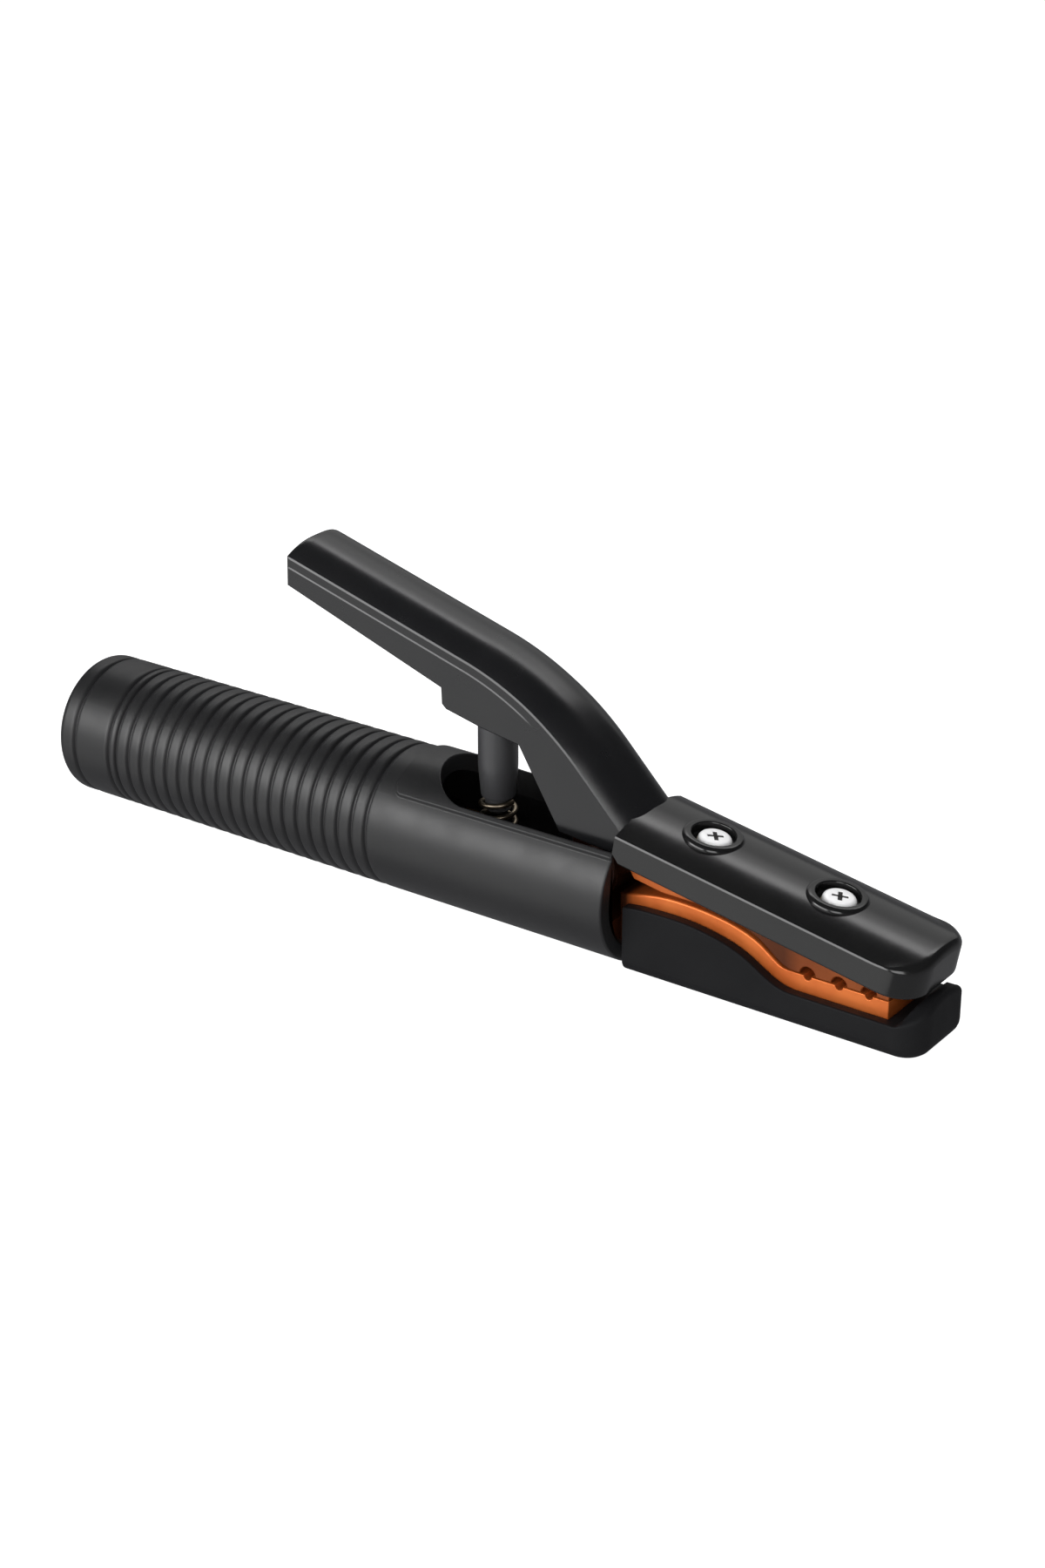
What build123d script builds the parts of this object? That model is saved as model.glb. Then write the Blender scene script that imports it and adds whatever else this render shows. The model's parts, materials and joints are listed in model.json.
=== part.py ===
from build123d import *
import math
import os

# Electrode holder (welding stinger), millimetres.
# X runs along the handle axis from its rear end to the jaw tips, Y across, Z up.
# The origin is the mouth of the cable entry, on the handle axis.

# ---- Handle sleeve -------------------------------------------------------------------
HANDLE_LENGTH = 169.5
HANDLE_R = 18.0
HANDLE_BORE_R = 14.5
CABLE_ENTRY_R = 9.0
REAR_FLANGE = 6.0
REAR_EDGE_R = 1.8
RIM_GROOVE_X = 5.8
RIB_PITCH = 4.25
RIB_COUNT = 20
FIRST_GROOVE_X = 20.0
LEAD_GROOVE_X = 17.5
GROOVE_WIDTH = 0.9
GROOVE_DEPTH = 0.8
PAD_REAR_X = 106.5
PAD_R = HANDLE_R + 0.75
PAD_HALF_WIDTH = 13.3
PAD_CORNER_R = 2.5
SLOT_REAR_X = 114.0
SLOT_HALF_WIDTH = 12.8
HANDLE_SCREW_X = 143.5
HANDLE_SCREW_HEAD_Z = -HANDLE_R + 0.5
HANDLE_SCREW_LENGTH = 10.0
HANDLE_SCREW_CONE = 2.2

# ---- Hinge ---------------------------------------------------------------------------
HINGE_X = 159.5
HINGE_Z = 4.0
PIN_R = 3.0
RUNNING_GAP = 0.05
BUSH_R = 4.2
BARREL_R = 6.5
ARM_HALF_WIDTH = 5.9
LUG_INNER_Y = 6.6
LUG_OUTER_Y = 10.4
LUG_R = 5.6
CLIP_R = 5.0
CLIP_INNER_R = PIN_R - 0.45
CLIP_Y = LUG_OUTER_Y + 0.05
CLIP_THICKNESS = 0.8
PIN_HALF_LENGTH = 12.2

# ---- Conductor: cable socket and lower jaw -------------------------------------------
BODY_R = 14.3
SOCKET_REAR_X = 58.0
SOCKET_FRONT_X = 100.0
SOCKET_R = 11.0
SOCKET_BORE_R = 7.0
FERRULE_R = 6.95
FERRULE_BORE_R = 6.2
CLAMP_SCREW_X = (69.0, 88.0)
CLAMP_SCREW_R = 4.0
CLAMP_SCREW_TOP_Z = 12.6
TONGUE_FRONT_X = 119.0
TONGUE_HALF_WIDTH = 8.0
TONGUE_TOP_Z = 2.0
SOCKET_SCREW_X = (105.0, 113.0)
SOCKET_SCREW_LENGTH = 13.0
SLAB_REAR_X = 101.0
SLAB_TOP_Z = -4.0
JAW_HALF_WIDTH = 9.3
JAW_TIP_X = 239.5
JAW_BOTTOM_Z = -10.1
JAW_FACE_Z = -4.2
JAW_GAP = 0.2
JAW_ROOT = 2.5
TOOTH_GROOVE_X = (219.0, 227.0, 234.5)
UPPER_GROOVE_R = 2.0
LOWER_GROOVE_R = 1.0
# Crest of the lower jaw from its root to the flat gripping face.
HUMP = ((171.5, 2.4), (180.5, 4.1), (189.5, 4.1), (201.0, 2.3), (207.5, -0.6), (214.0, JAW_FACE_Z))

# ---- Spring --------------------------------------------------------------------------
SPRING_X = 127.8
WELL_R = 6.1
CUP_R = 6.0
CUP_BORE_R = 5.0
CUP_BOTTOM_Z = -12.2
CUP_TOP_Z = -3.0
CUP_FLOOR = 1.0
SPRING_MEAN_R = 4.05
WIRE_R = 0.7
SPRING_TURNS = 7
SPRING_TOP_Z = 12.3
POST_R = 4.8
POST_NOSE_R = 4.1
POST_SPIGOT_R = 3.2
POST_TAPER_Z = 20.0
POST_SHOULDER_Z = 12.4
POST_TIP_Z = 8.5
POST_NECK_Z = 41.5
POST_TOP_Z = 45.0
POST_TENON_R = 3.0

# ---- Upper jaw insulator (a crowned block, nose down by BLOCK_TILT) -------------------
BLOCK_TILT = 9.9
BLOCK_REAR_X = 170.4
BLOCK_EDGE_Z = 18.26
BLOCK_LENGTH = 78.7
BLOCK_HALF_WIDTH = 13.8
BLOCK_SIDE = 6.6
BLOCK_CROWN = 2.9
BLOCK_NOSE_R = 8.5
BLOCK_ROOF = 2.9
BLOCK_HEEL_R = 14.1
CHANNEL_HALF_WIDTH = 9.5
CHANNEL_LENGTH = 72.2
BOSS_ALONG = (17.4, 50.5)
BOSS_R = 7.3
BOSS_HEIGHT = 3.5
BOSS_RECESS_R = 5.1
BOSS_SEAT = 0.9

# ---- Lower jaw insulator -------------------------------------------------------------
TRAY_REAR_X = 171.7
TRAY_FRONT_X = 248.7
TRAY_HALF_WIDTH = 12.2
TRAY_BOTTOM_Z = -16.6
TRAY_FLOOR_Z = -10.2
TRAY_NOSE_R = 6.5
TRAY_EDGE_R = 3.5
TRAY_SCREW_X = (191.5, 223.5)
TRAY_SCREW_SEAT = 2.4
RIM_Z = -8.2
RIM_FRONT_X = 240.5
LIP_TOP_Z = -3.0
LIP_SIDE_Z = -9.7

# ---- Lever ---------------------------------------------------------------------------
LEVER_HALF_WIDTH = 10.3
LEVER_CROWN = 4.2
LEVER_REAR = (73.0, 63.4)
LEVER_REAR_UNDER_Z = 56.5
LEVER_SLOPE = 15.6
LEVER_STRAIGHT = 54.5
LEVER_BEND_R = 72.0
LEVER_BEND = 29.9
LEVER_TOE = 21.0
LEVER_SCREW_X = (99.5, 113.5)
LEVER_SCREW_SEAT = 0.9
# Side view of the lever's underside, from its foot over the step to the grip.
LEVER_UNDER = ((166.7, 11.8), (152.4, 13.2), (141.0, 32.0), (130.5, 33.6), (120.1, 35.9), (118.9, 37.0),
               (118.7, 41.0))
# Side view of the copper arm inside the lever, along its upper and its lower face.
ARM_TOP = ((93.5, 56.6), (124.5, 48.0), (138.5, 42.2), (149.5, 33.2), (160.5, 21.3), (167.5, 15.2))
ARM_UNDER = ((153.6, 6.0), (153.2, 12.5), (146.5, 26.0), (139.0, 36.6), (121.5, 42.4), (93.5, 51.6))
ARM_CLEARANCE = 0.15

# ---- Screws --------------------------------------------------------------------------
M4_R = 2.0
M4_HEAD_R = 3.95
M4_HEAD_HEIGHT = 1.9
M5_R = 2.5
M5_HEAD_R = 4.25
M5_HEAD_HEIGHT = 4.0
HEX_KEY_R = 2.3
THREAD_GAP = 0.05


def side_prism(outline, half_width):
    """Extrude an outline drawn in the XZ plane by half_width to each side of it."""
    return extrude(Plane.XZ * outline, half_width, both=True)


def side_polygon(points, half_width):
    return side_prism(make_face(Polyline(*points, close=True)), half_width)


def rod_x(radius, x_start, x_end, y=0.0, z=0.0):
    return extrude(Plane.YZ.offset(x_start) * Pos(y, z) * Circle(radius), x_end - x_start)


def rod_y(radius, half_width, x, z):
    return side_prism(Pos(x, z) * Circle(radius), half_width)


def rod_z(radius, z_low, z_high, x=0.0, y=0.0):
    base = (Align.CENTER, Align.CENTER, Align.MIN)
    return Pos(x, y, z_low) * Cylinder(radius, z_high - z_low, align=base)


def box(x_range, y_range, z_range):
    corner = (Align.MIN, Align.MIN, Align.MIN)
    lows = [limits[0] for limits in (x_range, y_range, z_range)]
    sizes = [limits[1] - limits[0] for limits in (x_range, y_range, z_range)]
    return Pos(*lows) * Box(*sizes, align=corner)


def ring_y(outer_r, inner_r, y_near, y_far):
    """A ring around the hinge axis between two distances from the middle."""
    ring = Plane.XZ * Pos(HINGE_X, HINGE_Z) * (Circle(outer_r) - Circle(inner_r))
    return Pos(0, y_far, 0) * extrude(ring, y_far - y_near)


def cross_recess(arm_half, depth, top_z):
    """The tapered cross of a Phillips screw head, open at top_z."""
    arm = loft([
        Pos(0, 0, top_z - depth) * Rectangle(arm_half * 0.9, 0.45),
        Pos(0, 0, top_z + 0.01) * Rectangle(arm_half * 2.0, 1.0),
    ])
    return arm + Rot(0, 0, 90) * arm


def pan_screw(length, head_r=M4_HEAD_R, head_height=M4_HEAD_HEIGHT, shank_r=M4_R):
    """A Phillips pan-head screw, its seat at z=0 and its shank pointing down."""
    head = rod_z(head_r, 0, head_height)
    head = fillet(head.edges().group_by(Axis.Z)[-1], head_height * 0.6)
    shank = rod_z(shank_r, -length, 0)
    shank = chamfer(shank.edges().group_by(Axis.Z)[0], 0.4)
    return head + shank - cross_recess(2.2, 1.3, head_height)


def hex_recess(across_r, z_low, z_high):
    return Pos(0, 0, z_low) * extrude(RegularPolygon(across_r, 6), z_high - z_low)


def block_frame(shape):
    """Place a shape drawn in the upper insulator's own frame."""
    return Pos(BLOCK_REAR_X, 0, BLOCK_EDGE_Z) * Rot(0, BLOCK_TILT, 0) * shape


def block_line_z(x, below_edge):
    """Height at x of a line parallel to the block's side edge."""
    tilt = math.radians(BLOCK_TILT)
    return BLOCK_EDGE_Z - (x - BLOCK_REAR_X) * math.tan(tilt) - below_edge / math.cos(tilt)


# ---- Handle sleeve -------------------------------------------------------------------
def slot_prism():
    """The slot through the handle's top: round at its rear, open at the front."""
    centre_x = SLOT_REAR_X + SLOT_HALF_WIDTH
    straight = box((centre_x, HANDLE_LENGTH + 1), (-SLOT_HALF_WIDTH, SLOT_HALF_WIDTH), (0, 30))
    return straight + rod_z(SLOT_HALF_WIDTH, 0, 30, centre_x)


def handle_pad():
    pad = rod_x(PAD_R, PAD_REAR_X, HANDLE_LENGTH)
    outline = box((PAD_REAR_X, HANDLE_LENGTH), (-PAD_HALF_WIDTH, PAD_HALF_WIDTH), (0, 30))
    rear_corners = outline.edges().filter_by(Axis.Z).group_by(Axis.X)[0]
    return pad & fillet(rear_corners, PAD_CORNER_R)


def handle_sleeve():
    body = rod_x(HANDLE_R, 0, HANDLE_LENGTH)
    body = fillet(body.edges().group_by(Axis.X)[0], REAR_EDGE_R)
    body += handle_pad()
    body -= rod_x(HANDLE_BORE_R, REAR_FLANGE, HANDLE_LENGTH)
    body -= rod_x(CABLE_ENTRY_R, 0, REAR_FLANGE)
    grooves = [RIM_GROOVE_X, LEAD_GROOVE_X]
    grooves += [FIRST_GROOVE_X + RIB_PITCH * rib for rib in range(RIB_COUNT)]
    for groove_x in grooves:
        half = GROOVE_WIDTH / 2
        outside = rod_x(HANDLE_R + 1, groove_x - half, groove_x + half)
        body -= outside - rod_x(HANDLE_R - GROOVE_DEPTH, groove_x - half, groove_x + half)
    body -= slot_prism()
    return body - handle_screw_hole()


# ---- Handle screw --------------------------------------------------------------------
def screw_cone():
    return Cone(M5_HEAD_R, M5_R, HANDLE_SCREW_CONE, align=(Align.CENTER, Align.CENTER, Align.MIN))


def handle_screw():
    """A slotted countersunk screw, put in from below."""
    shank = rod_z(M5_R, HANDLE_SCREW_CONE, HANDLE_SCREW_LENGTH)
    slot = box((-M5_HEAD_R, M5_HEAD_R), (-0.55, 0.55), (0, 0.9))
    return Pos(HANDLE_SCREW_X, 0, HANDLE_SCREW_HEAD_Z) * (screw_cone() + shank - slot)


def handle_screw_hole():
    hole = rod_z(M5_HEAD_R, -1.5, 0) + screw_cone() + rod_z(M5_R + THREAD_GAP, 0, HANDLE_SCREW_LENGTH)
    return Pos(HANDLE_SCREW_X, 0, HANDLE_SCREW_HEAD_Z) * hole


# ---- Cable socket --------------------------------------------------------------------
def cable_socket():
    socket = rod_x(SOCKET_R, SOCKET_REAR_X, SOCKET_FRONT_X)
    socket = chamfer(socket.edges().group_by(Axis.X)[0], 1.0)
    tongue = box((SOCKET_FRONT_X - 2, TONGUE_FRONT_X), (-TONGUE_HALF_WIDTH, TONGUE_HALF_WIDTH),
                 (SLAB_TOP_Z, TONGUE_TOP_Z))
    socket += fillet(tongue.edges().filter_by(Axis.Z).group_by(Axis.X)[-1], 4.0)
    socket -= rod_x(SOCKET_BORE_R, SOCKET_REAR_X, SOCKET_FRONT_X - 1)
    for screw_x in CLAMP_SCREW_X:
        socket -= rod_z(CLAMP_SCREW_R + THREAD_GAP, 0, SOCKET_R + 1, screw_x)
    for screw_x in SOCKET_SCREW_X:
        socket -= rod_z(M5_R + THREAD_GAP, SLAB_TOP_Z, TONGUE_TOP_Z, screw_x)
    return socket


def cable_ferrule():
    tube = rod_x(FERRULE_R, SOCKET_REAR_X, SOCKET_FRONT_X - 1.5)
    return tube - rod_x(FERRULE_BORE_R, SOCKET_REAR_X, SOCKET_FRONT_X - 1.5)


def cable_clamp_screws():
    """Hexagon-socket set screws that press on the ferrule."""
    screw = rod_z(CLAMP_SCREW_R, FERRULE_R + 0.1, CLAMP_SCREW_TOP_Z)
    screw = chamfer(screw.edges().group_by(Axis.Z)[-1], 0.4)
    screw -= hex_recess(HEX_KEY_R, CLAMP_SCREW_TOP_Z - 3.6, CLAMP_SCREW_TOP_Z)
    return Compound([Pos(screw_x, 0, 0) * screw for screw_x in CLAMP_SCREW_X])


def socket_screws():
    """Cap screws that join the socket's tongue to the lower jaw."""
    head = rod_z(M5_HEAD_R, 0, M5_HEAD_HEIGHT)
    head = chamfer(head.edges().group_by(Axis.Z)[-1], 0.5) - hex_recess(HEX_KEY_R, 1.6, M5_HEAD_HEIGHT)
    screw = head + rod_z(M5_R, -SOCKET_SCREW_LENGTH, 0)
    return Compound([Pos(screw_x, 0, TONGUE_TOP_Z) * screw for screw_x in SOCKET_SCREW_X])


# ---- Lower jaw -----------------------------------------------------------------------
def tooth_grooves(face_z, radius):
    """Half-round grooves across a jaw face and one along it, for the electrode."""
    grooves = rod_x(radius, TOOTH_GROOVE_X[0] - 4, JAW_TIP_X + 1, 0, face_z)
    for groove_x in TOOTH_GROOVE_X:
        grooves += rod_y(radius, JAW_HALF_WIDTH + 1, groove_x, face_z)
    return grooves


def lower_jaw_front():
    crest = Spline(*HUMP, tangents=[(1, 0.25), (1, 0)])
    root_x = HUMP[0][0] - JAW_ROOT
    rest = Polyline(HUMP[-1], (JAW_TIP_X, JAW_FACE_Z), (JAW_TIP_X, JAW_BOTTOM_Z),
                    (root_x, JAW_BOTTOM_Z), (root_x, HUMP[0][1] - 0.4), HUMP[0])
    jaw = side_prism(make_face([crest, rest]), JAW_HALF_WIDTH)
    return fillet(jaw.edges().filter_by(Axis.Z).group_by(Axis.X)[-1], 0.5)


def lower_jaw():
    slab = rod_x(BODY_R, SLAB_REAR_X, TRAY_REAR_X - 0.6)
    slab &= box((0, TRAY_REAR_X), (-BODY_R, BODY_R), (-BODY_R, SLAB_TOP_Z))
    lug = side_polygon([(HINGE_X - LUG_R, SLAB_TOP_Z - 1), (HINGE_X + LUG_R, SLAB_TOP_Z - 1),
                        (HINGE_X + LUG_R, HINGE_Z), (HINGE_X - LUG_R, HINGE_Z)], LUG_OUTER_Y)
    lug += rod_y(LUG_R, LUG_OUTER_Y, HINGE_X, HINGE_Z)
    lug -= box((HINGE_X - LUG_R, HINGE_X + LUG_R), (-LUG_INNER_Y, LUG_INNER_Y), (SLAB_TOP_Z, 20))
    root_front, root_top = HUMP[0][0] - 0.5, HUMP[0][1] - 0.4
    root = side_polygon([(root_front - 3.9, SLAB_TOP_Z - 1), (root_front, SLAB_TOP_Z - 1),
                         (root_front, root_top), (root_front - 2, root_top)], JAW_HALF_WIDTH)
    body = slab + lug + root + lower_jaw_front()
    body -= rod_y(PIN_R + THREAD_GAP, LUG_OUTER_Y + 1, HINGE_X, HINGE_Z)
    body -= rod_z(WELL_R, CUP_BOTTOM_Z, SLAB_TOP_Z, SPRING_X)
    body -= tooth_grooves(JAW_FACE_Z, LOWER_GROOVE_R)
    for screw_x in SOCKET_SCREW_X:
        body -= rod_z(M5_R + THREAD_GAP, TONGUE_TOP_Z - SOCKET_SCREW_LENGTH - 0.2, SLAB_TOP_Z, screw_x)
    for screw_x in TRAY_SCREW_X:
        body -= rod_z(M4_R + THREAD_GAP, JAW_BOTTOM_Z, JAW_BOTTOM_Z + 4.2, screw_x)
    return body - handle_screw_hole()


# ---- Lower jaw insulator -------------------------------------------------------------
def tray_envelope():
    """Outer shape: round-nosed in plan, rounded along its lower edges."""
    block = box((TRAY_REAR_X, TRAY_FRONT_X), (-TRAY_HALF_WIDTH, TRAY_HALF_WIDTH), (TRAY_BOTTOM_Z, 6))
    block = fillet(block.edges().filter_by(Axis.Z).group_by(Axis.X)[-1], TRAY_NOSE_R)
    lower = block.edges().group_by(Axis.Z)[0]
    return fillet([edge for edge in lower if edge.center().X > TRAY_REAR_X + 1], TRAY_EDGE_R)


def tray_side_profile():
    """Side view: walls that follow the jaw's hump, drop to a low rim and end in a lip."""
    wall = ((TRAY_REAR_X, 0.2), (179.5, 0.9), (188.5, 0.8), (196.5, -0.4), (205.0, -3.4),
            (210.5, -6.6), (216.5, RIM_Z))
    top = Spline(*wall, tangents=[(1, 0.2), (1, 0)])
    rest = Polyline(wall[-1], (RIM_FRONT_X, RIM_Z), (RIM_FRONT_X + 4, LIP_TOP_Z),
                    (TRAY_FRONT_X + 1, LIP_TOP_Z), (TRAY_FRONT_X + 1, TRAY_BOTTOM_Z - 1),
                    (TRAY_REAR_X, TRAY_BOTTOM_Z - 1), wall[0])
    return side_prism(make_face([top, rest]), TRAY_HALF_WIDTH + 1)


def tray_lip_arch():
    """Front view of the lip: highest in the middle, falling to the rim at each side."""
    side, low = TRAY_HALF_WIDTH + 1, TRAY_BOTTOM_Z - 1
    start_x = RIM_FRONT_X - 1
    arch = ThreePointArc((-side, LIP_SIDE_Z), (0, LIP_TOP_Z), (side, LIP_SIDE_Z))
    base = Polyline((side, LIP_SIDE_Z), (side, low), (-side, low), (-side, LIP_SIDE_Z))
    front = extrude(Plane.YZ.offset(start_x) * make_face([arch, base]), 20)
    return front + box((TRAY_REAR_X - 1, start_x), (-side, side), (low, 20))


def lower_jaw_insulator():
    tray = tray_envelope() & tray_side_profile() & tray_lip_arch()
    cavity = box((TRAY_REAR_X - 1, JAW_TIP_X + 0.3), (-CHANNEL_HALF_WIDTH, CHANNEL_HALF_WIDTH),
                 (TRAY_FLOOR_Z, 20))
    tray -= cavity
    for screw_x in TRAY_SCREW_X:
        tray -= rod_z(M4_R + 0.2, TRAY_BOTTOM_Z, TRAY_FLOOR_Z, screw_x)
        tray -= rod_z(M4_HEAD_R + 0.6, TRAY_BOTTOM_Z, TRAY_BOTTOM_Z + TRAY_SCREW_SEAT, screw_x)
    return tray


def lower_insulator_screws():
    screw = Rot(180, 0, 0) * pan_screw(7.2)
    return Compound([Pos(screw_x, 0, TRAY_BOTTOM_Z + TRAY_SCREW_SEAT) * screw for screw_x in TRAY_SCREW_X])


# ---- Hinge ---------------------------------------------------------------------------
def both_sides(shape):
    return Compound([shape, mirror(shape, Plane.XZ)])


def hinge_pin():
    pin = rod_y(PIN_R, PIN_HALF_LENGTH, HINGE_X, HINGE_Z)
    pin = chamfer(pin.edges(), 0.4)
    return pin - both_sides(ring_y(PIN_R + 1, CLIP_INNER_R - 0.05, CLIP_Y, CLIP_Y + CLIP_THICKNESS))


def hinge_pin_clips():
    """E-shaped retaining clips in the pin's grooves."""
    clip = ring_y(CLIP_R, CLIP_INNER_R, CLIP_Y, CLIP_Y + CLIP_THICKNESS)
    mouth = box((HINGE_X - 1.9, HINGE_X + 1.9), (CLIP_Y - 1, CLIP_Y + 2), (HINGE_Z - CLIP_R - 1, HINGE_Z))
    return both_sides(clip - mouth)


def hinge_washers():
    near, far = ARM_HALF_WIDTH + RUNNING_GAP, LUG_INNER_Y - RUNNING_GAP
    return both_sides(ring_y(LUG_R, PIN_R + RUNNING_GAP, near, far))


def hinge_bush():
    bush = rod_y(BUSH_R, ARM_HALF_WIDTH, HINGE_X, HINGE_Z)
    return bush - rod_y(PIN_R + RUNNING_GAP, ARM_HALF_WIDTH + 1, HINGE_X, HINGE_Z)


# ---- Spring --------------------------------------------------------------------------
def spring_cup():
    cup = rod_z(CUP_R, CUP_BOTTOM_Z, CUP_TOP_Z, SPRING_X)
    return cup - rod_z(CUP_BORE_R, CUP_BOTTOM_Z + CUP_FLOOR, CUP_TOP_Z, SPRING_X)


def spring():
    bottom = CUP_BOTTOM_Z + CUP_FLOOR + WIRE_R
    height = SPRING_TOP_Z - WIRE_R - bottom
    path = Helix(height / SPRING_TURNS, height, SPRING_MEAN_R)
    wire = Plane(origin=path @ 0, z_dir=path % 0) * Circle(WIRE_R)
    return Pos(SPRING_X, 0, bottom) * sweep(wire, path=path, is_frenet=True)


def spring_post():
    """A plunger under the lever: its nose sits in the spring's top coil."""
    outline = Polyline(
        (0, POST_TIP_Z), (POST_SPIGOT_R - 0.8, POST_TIP_Z), (POST_SPIGOT_R, POST_TIP_Z + 0.8),
        (POST_SPIGOT_R, POST_SHOULDER_Z), (POST_NOSE_R, POST_SHOULDER_Z), (POST_R, POST_TAPER_Z),
        (POST_R, POST_NECK_Z), (POST_TENON_R, POST_NECK_Z), (POST_TENON_R, POST_TOP_Z),
        (0, POST_TOP_Z), close=True)
    return Pos(SPRING_X, 0, 0) * revolve(Plane.XZ * make_face(outline), Axis.Z)


# ---- Upper jaw -----------------------------------------------------------------------
def upper_jaw_bar():
    """The gripping bar inside the upper insulator; its underside clears the hump."""
    rear_x = BLOCK_REAR_X + 0.5
    top_rear = (rear_x, block_line_z(rear_x, BLOCK_ROOF + 0.1))
    top_front = (JAW_TIP_X, block_line_z(JAW_TIP_X, BLOCK_ROOF + 0.1))
    face_z = JAW_FACE_Z + JAW_GAP
    lift = 1.0
    belly = [(rear_x + 9.1, 5.3)] + [(x, z + lift) for x, z in HUMP[2:-1]] + [(HUMP[-1][0] + 1, face_z)]
    curve = Spline(*belly, tangents=[(1, -0.05), (1, 0)])
    rest = Polyline(belly[-1], (JAW_TIP_X, face_z), top_front, top_rear,
                    (rear_x, 9.4), (rear_x + 1.8, 6.6), belly[0])
    return side_prism(make_face([curve, rest]), JAW_HALF_WIDTH) - tooth_grooves(face_z, UPPER_GROOVE_R)


def upper_jaw_arm():
    """Pivot barrel, neck and the arm that runs up inside the lever."""
    front_x = BLOCK_REAR_X + 1.6
    neck = ((front_x, 14.9), (front_x, 7.4), (HINGE_X + 7.4, 4.6), (HINGE_X, HINGE_Z))
    outline = ARM_TOP + neck + ARM_UNDER
    return side_polygon(outline, ARM_HALF_WIDTH) + rod_y(BARREL_R, ARM_HALF_WIDTH, HINGE_X, HINGE_Z)


def upper_jaw():
    jaw = upper_jaw_bar() + upper_jaw_arm()
    jaw -= rod_y(BUSH_R, ARM_HALF_WIDTH + 1, HINGE_X, HINGE_Z)
    jaw -= rod_z(POST_TENON_R, POST_NECK_Z - 2, POST_TOP_Z, SPRING_X)
    jaw -= rod_z(POST_R + 0.1, 30, POST_NECK_Z, SPRING_X)
    for along in BOSS_ALONG:
        jaw -= block_frame(rod_z(M4_R + THREAD_GAP, -7.5, -BLOCK_ROOF, along))
    for screw_x in LEVER_SCREW_X:
        jaw -= rod_z(M4_R + 0.2, 30, 70, screw_x)
        jaw -= rod_z(M4_HEAD_R + 0.3, 30, lever_screw_seat(screw_x), screw_x)
    return jaw


# ---- Upper jaw insulator -------------------------------------------------------------
def block_section(depth):
    """Cross-section looking along the block: flat sides under one low arch."""
    side = BLOCK_HALF_WIDTH
    return make_face([
        Polyline((-side, 0), (-side, -depth), (side, -depth), (side, 0)),
        ThreePointArc((side, 0), (0, BLOCK_CROWN), (-side, 0)),
    ])


def block_solid(rear, depth):
    """The block's outer shape in its own frame, from rear to its rounded nose."""
    bar = extrude(Plane.YZ.offset(rear) * block_section(depth), BLOCK_LENGTH - rear)
    plan = box((rear, BLOCK_LENGTH), (-BLOCK_HALF_WIDTH, BLOCK_HALF_WIDTH), (-depth, BLOCK_CROWN))
    plan = fillet(plan.edges().filter_by(Axis.Z).group_by(Axis.X)[-1], BLOCK_NOSE_R)
    plan = fillet(plan.faces().sort_by(Axis.Z)[-1].edges().group_by(Axis.X)[-1], 2.2)
    return bar & plan


def upper_jaw_insulator():
    """The block, hollowed for the jaw; its heel is round so that it swings past the handle."""
    block = block_solid(0, BLOCK_SIDE)
    for along in BOSS_ALONG:
        boss = rod_z(BOSS_R, 0, BOSS_HEIGHT, along)
        block += fillet(boss.edges().group_by(Axis.Z)[-1], 1.0)
    block -= box((-1, CHANNEL_LENGTH), (-CHANNEL_HALF_WIDTH, CHANNEL_HALF_WIDTH), (-20, -BLOCK_ROOF))
    for along in BOSS_ALONG:
        block -= rod_z(BOSS_RECESS_R, BOSS_SEAT, BOSS_HEIGHT + 1, along)
        block -= rod_z(M4_R + 0.2, -BLOCK_ROOF - 1, BOSS_SEAT, along)
    return block_frame(block) - rod_y(BLOCK_HEEL_R, BLOCK_HALF_WIDTH + 1, HINGE_X, HINGE_Z)


def upper_insulator_screws():
    seat = BOSS_SEAT + 0.6
    return Compound([block_frame(Pos(along, 0, seat) * pan_screw(8.4)) for along in BOSS_ALONG])


def upper_screw_washers():
    """Split lock washers under the two upper screws."""
    washer = rod_z(M4_HEAD_R - 0.3, BOSS_SEAT, BOSS_SEAT + 0.6)
    washer -= rod_z(M4_R + 0.1, BOSS_SEAT, BOSS_SEAT + 0.6)
    washer -= box((1, 6), (-0.3, 0.3), (BOSS_SEAT, BOSS_SEAT + 0.6))
    return Compound([block_frame(Pos(along, 0, 0) * washer) for along in BOSS_ALONG])


# ---- Lever ---------------------------------------------------------------------------
def heading(angle, length):
    """A step of the given length, pointing down by angle from +X."""
    turn = math.radians(angle)
    return length * math.cos(turn), -length * math.sin(turn)


def step(point, move):
    return point[0] + move[0], point[1] + move[1]


def lever_edge_points():
    """Start, bend start, bend middle, bend end and toe of the lever's upper side edge."""
    bend_start = step(LEVER_REAR, heading(LEVER_SLOPE, LEVER_STRAIGHT))

    def along_bend(turned):
        chord = 2 * LEVER_BEND_R * math.sin(math.radians(turned / 2))
        return step(bend_start, heading(LEVER_SLOPE + turned / 2, chord))

    bend_end = along_bend(LEVER_BEND)
    toe = step(bend_end, heading(LEVER_SLOPE + LEVER_BEND, LEVER_TOE))
    return LEVER_REAR, bend_start, along_bend(LEVER_BEND / 2), bend_end, toe


def lever_edge():
    rear, bend_start, bend_middle, bend_end, toe = lever_edge_points()
    return [Line(rear, bend_start), ThreePointArc(bend_start, bend_middle, bend_end), Line(bend_end, toe)]


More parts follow.
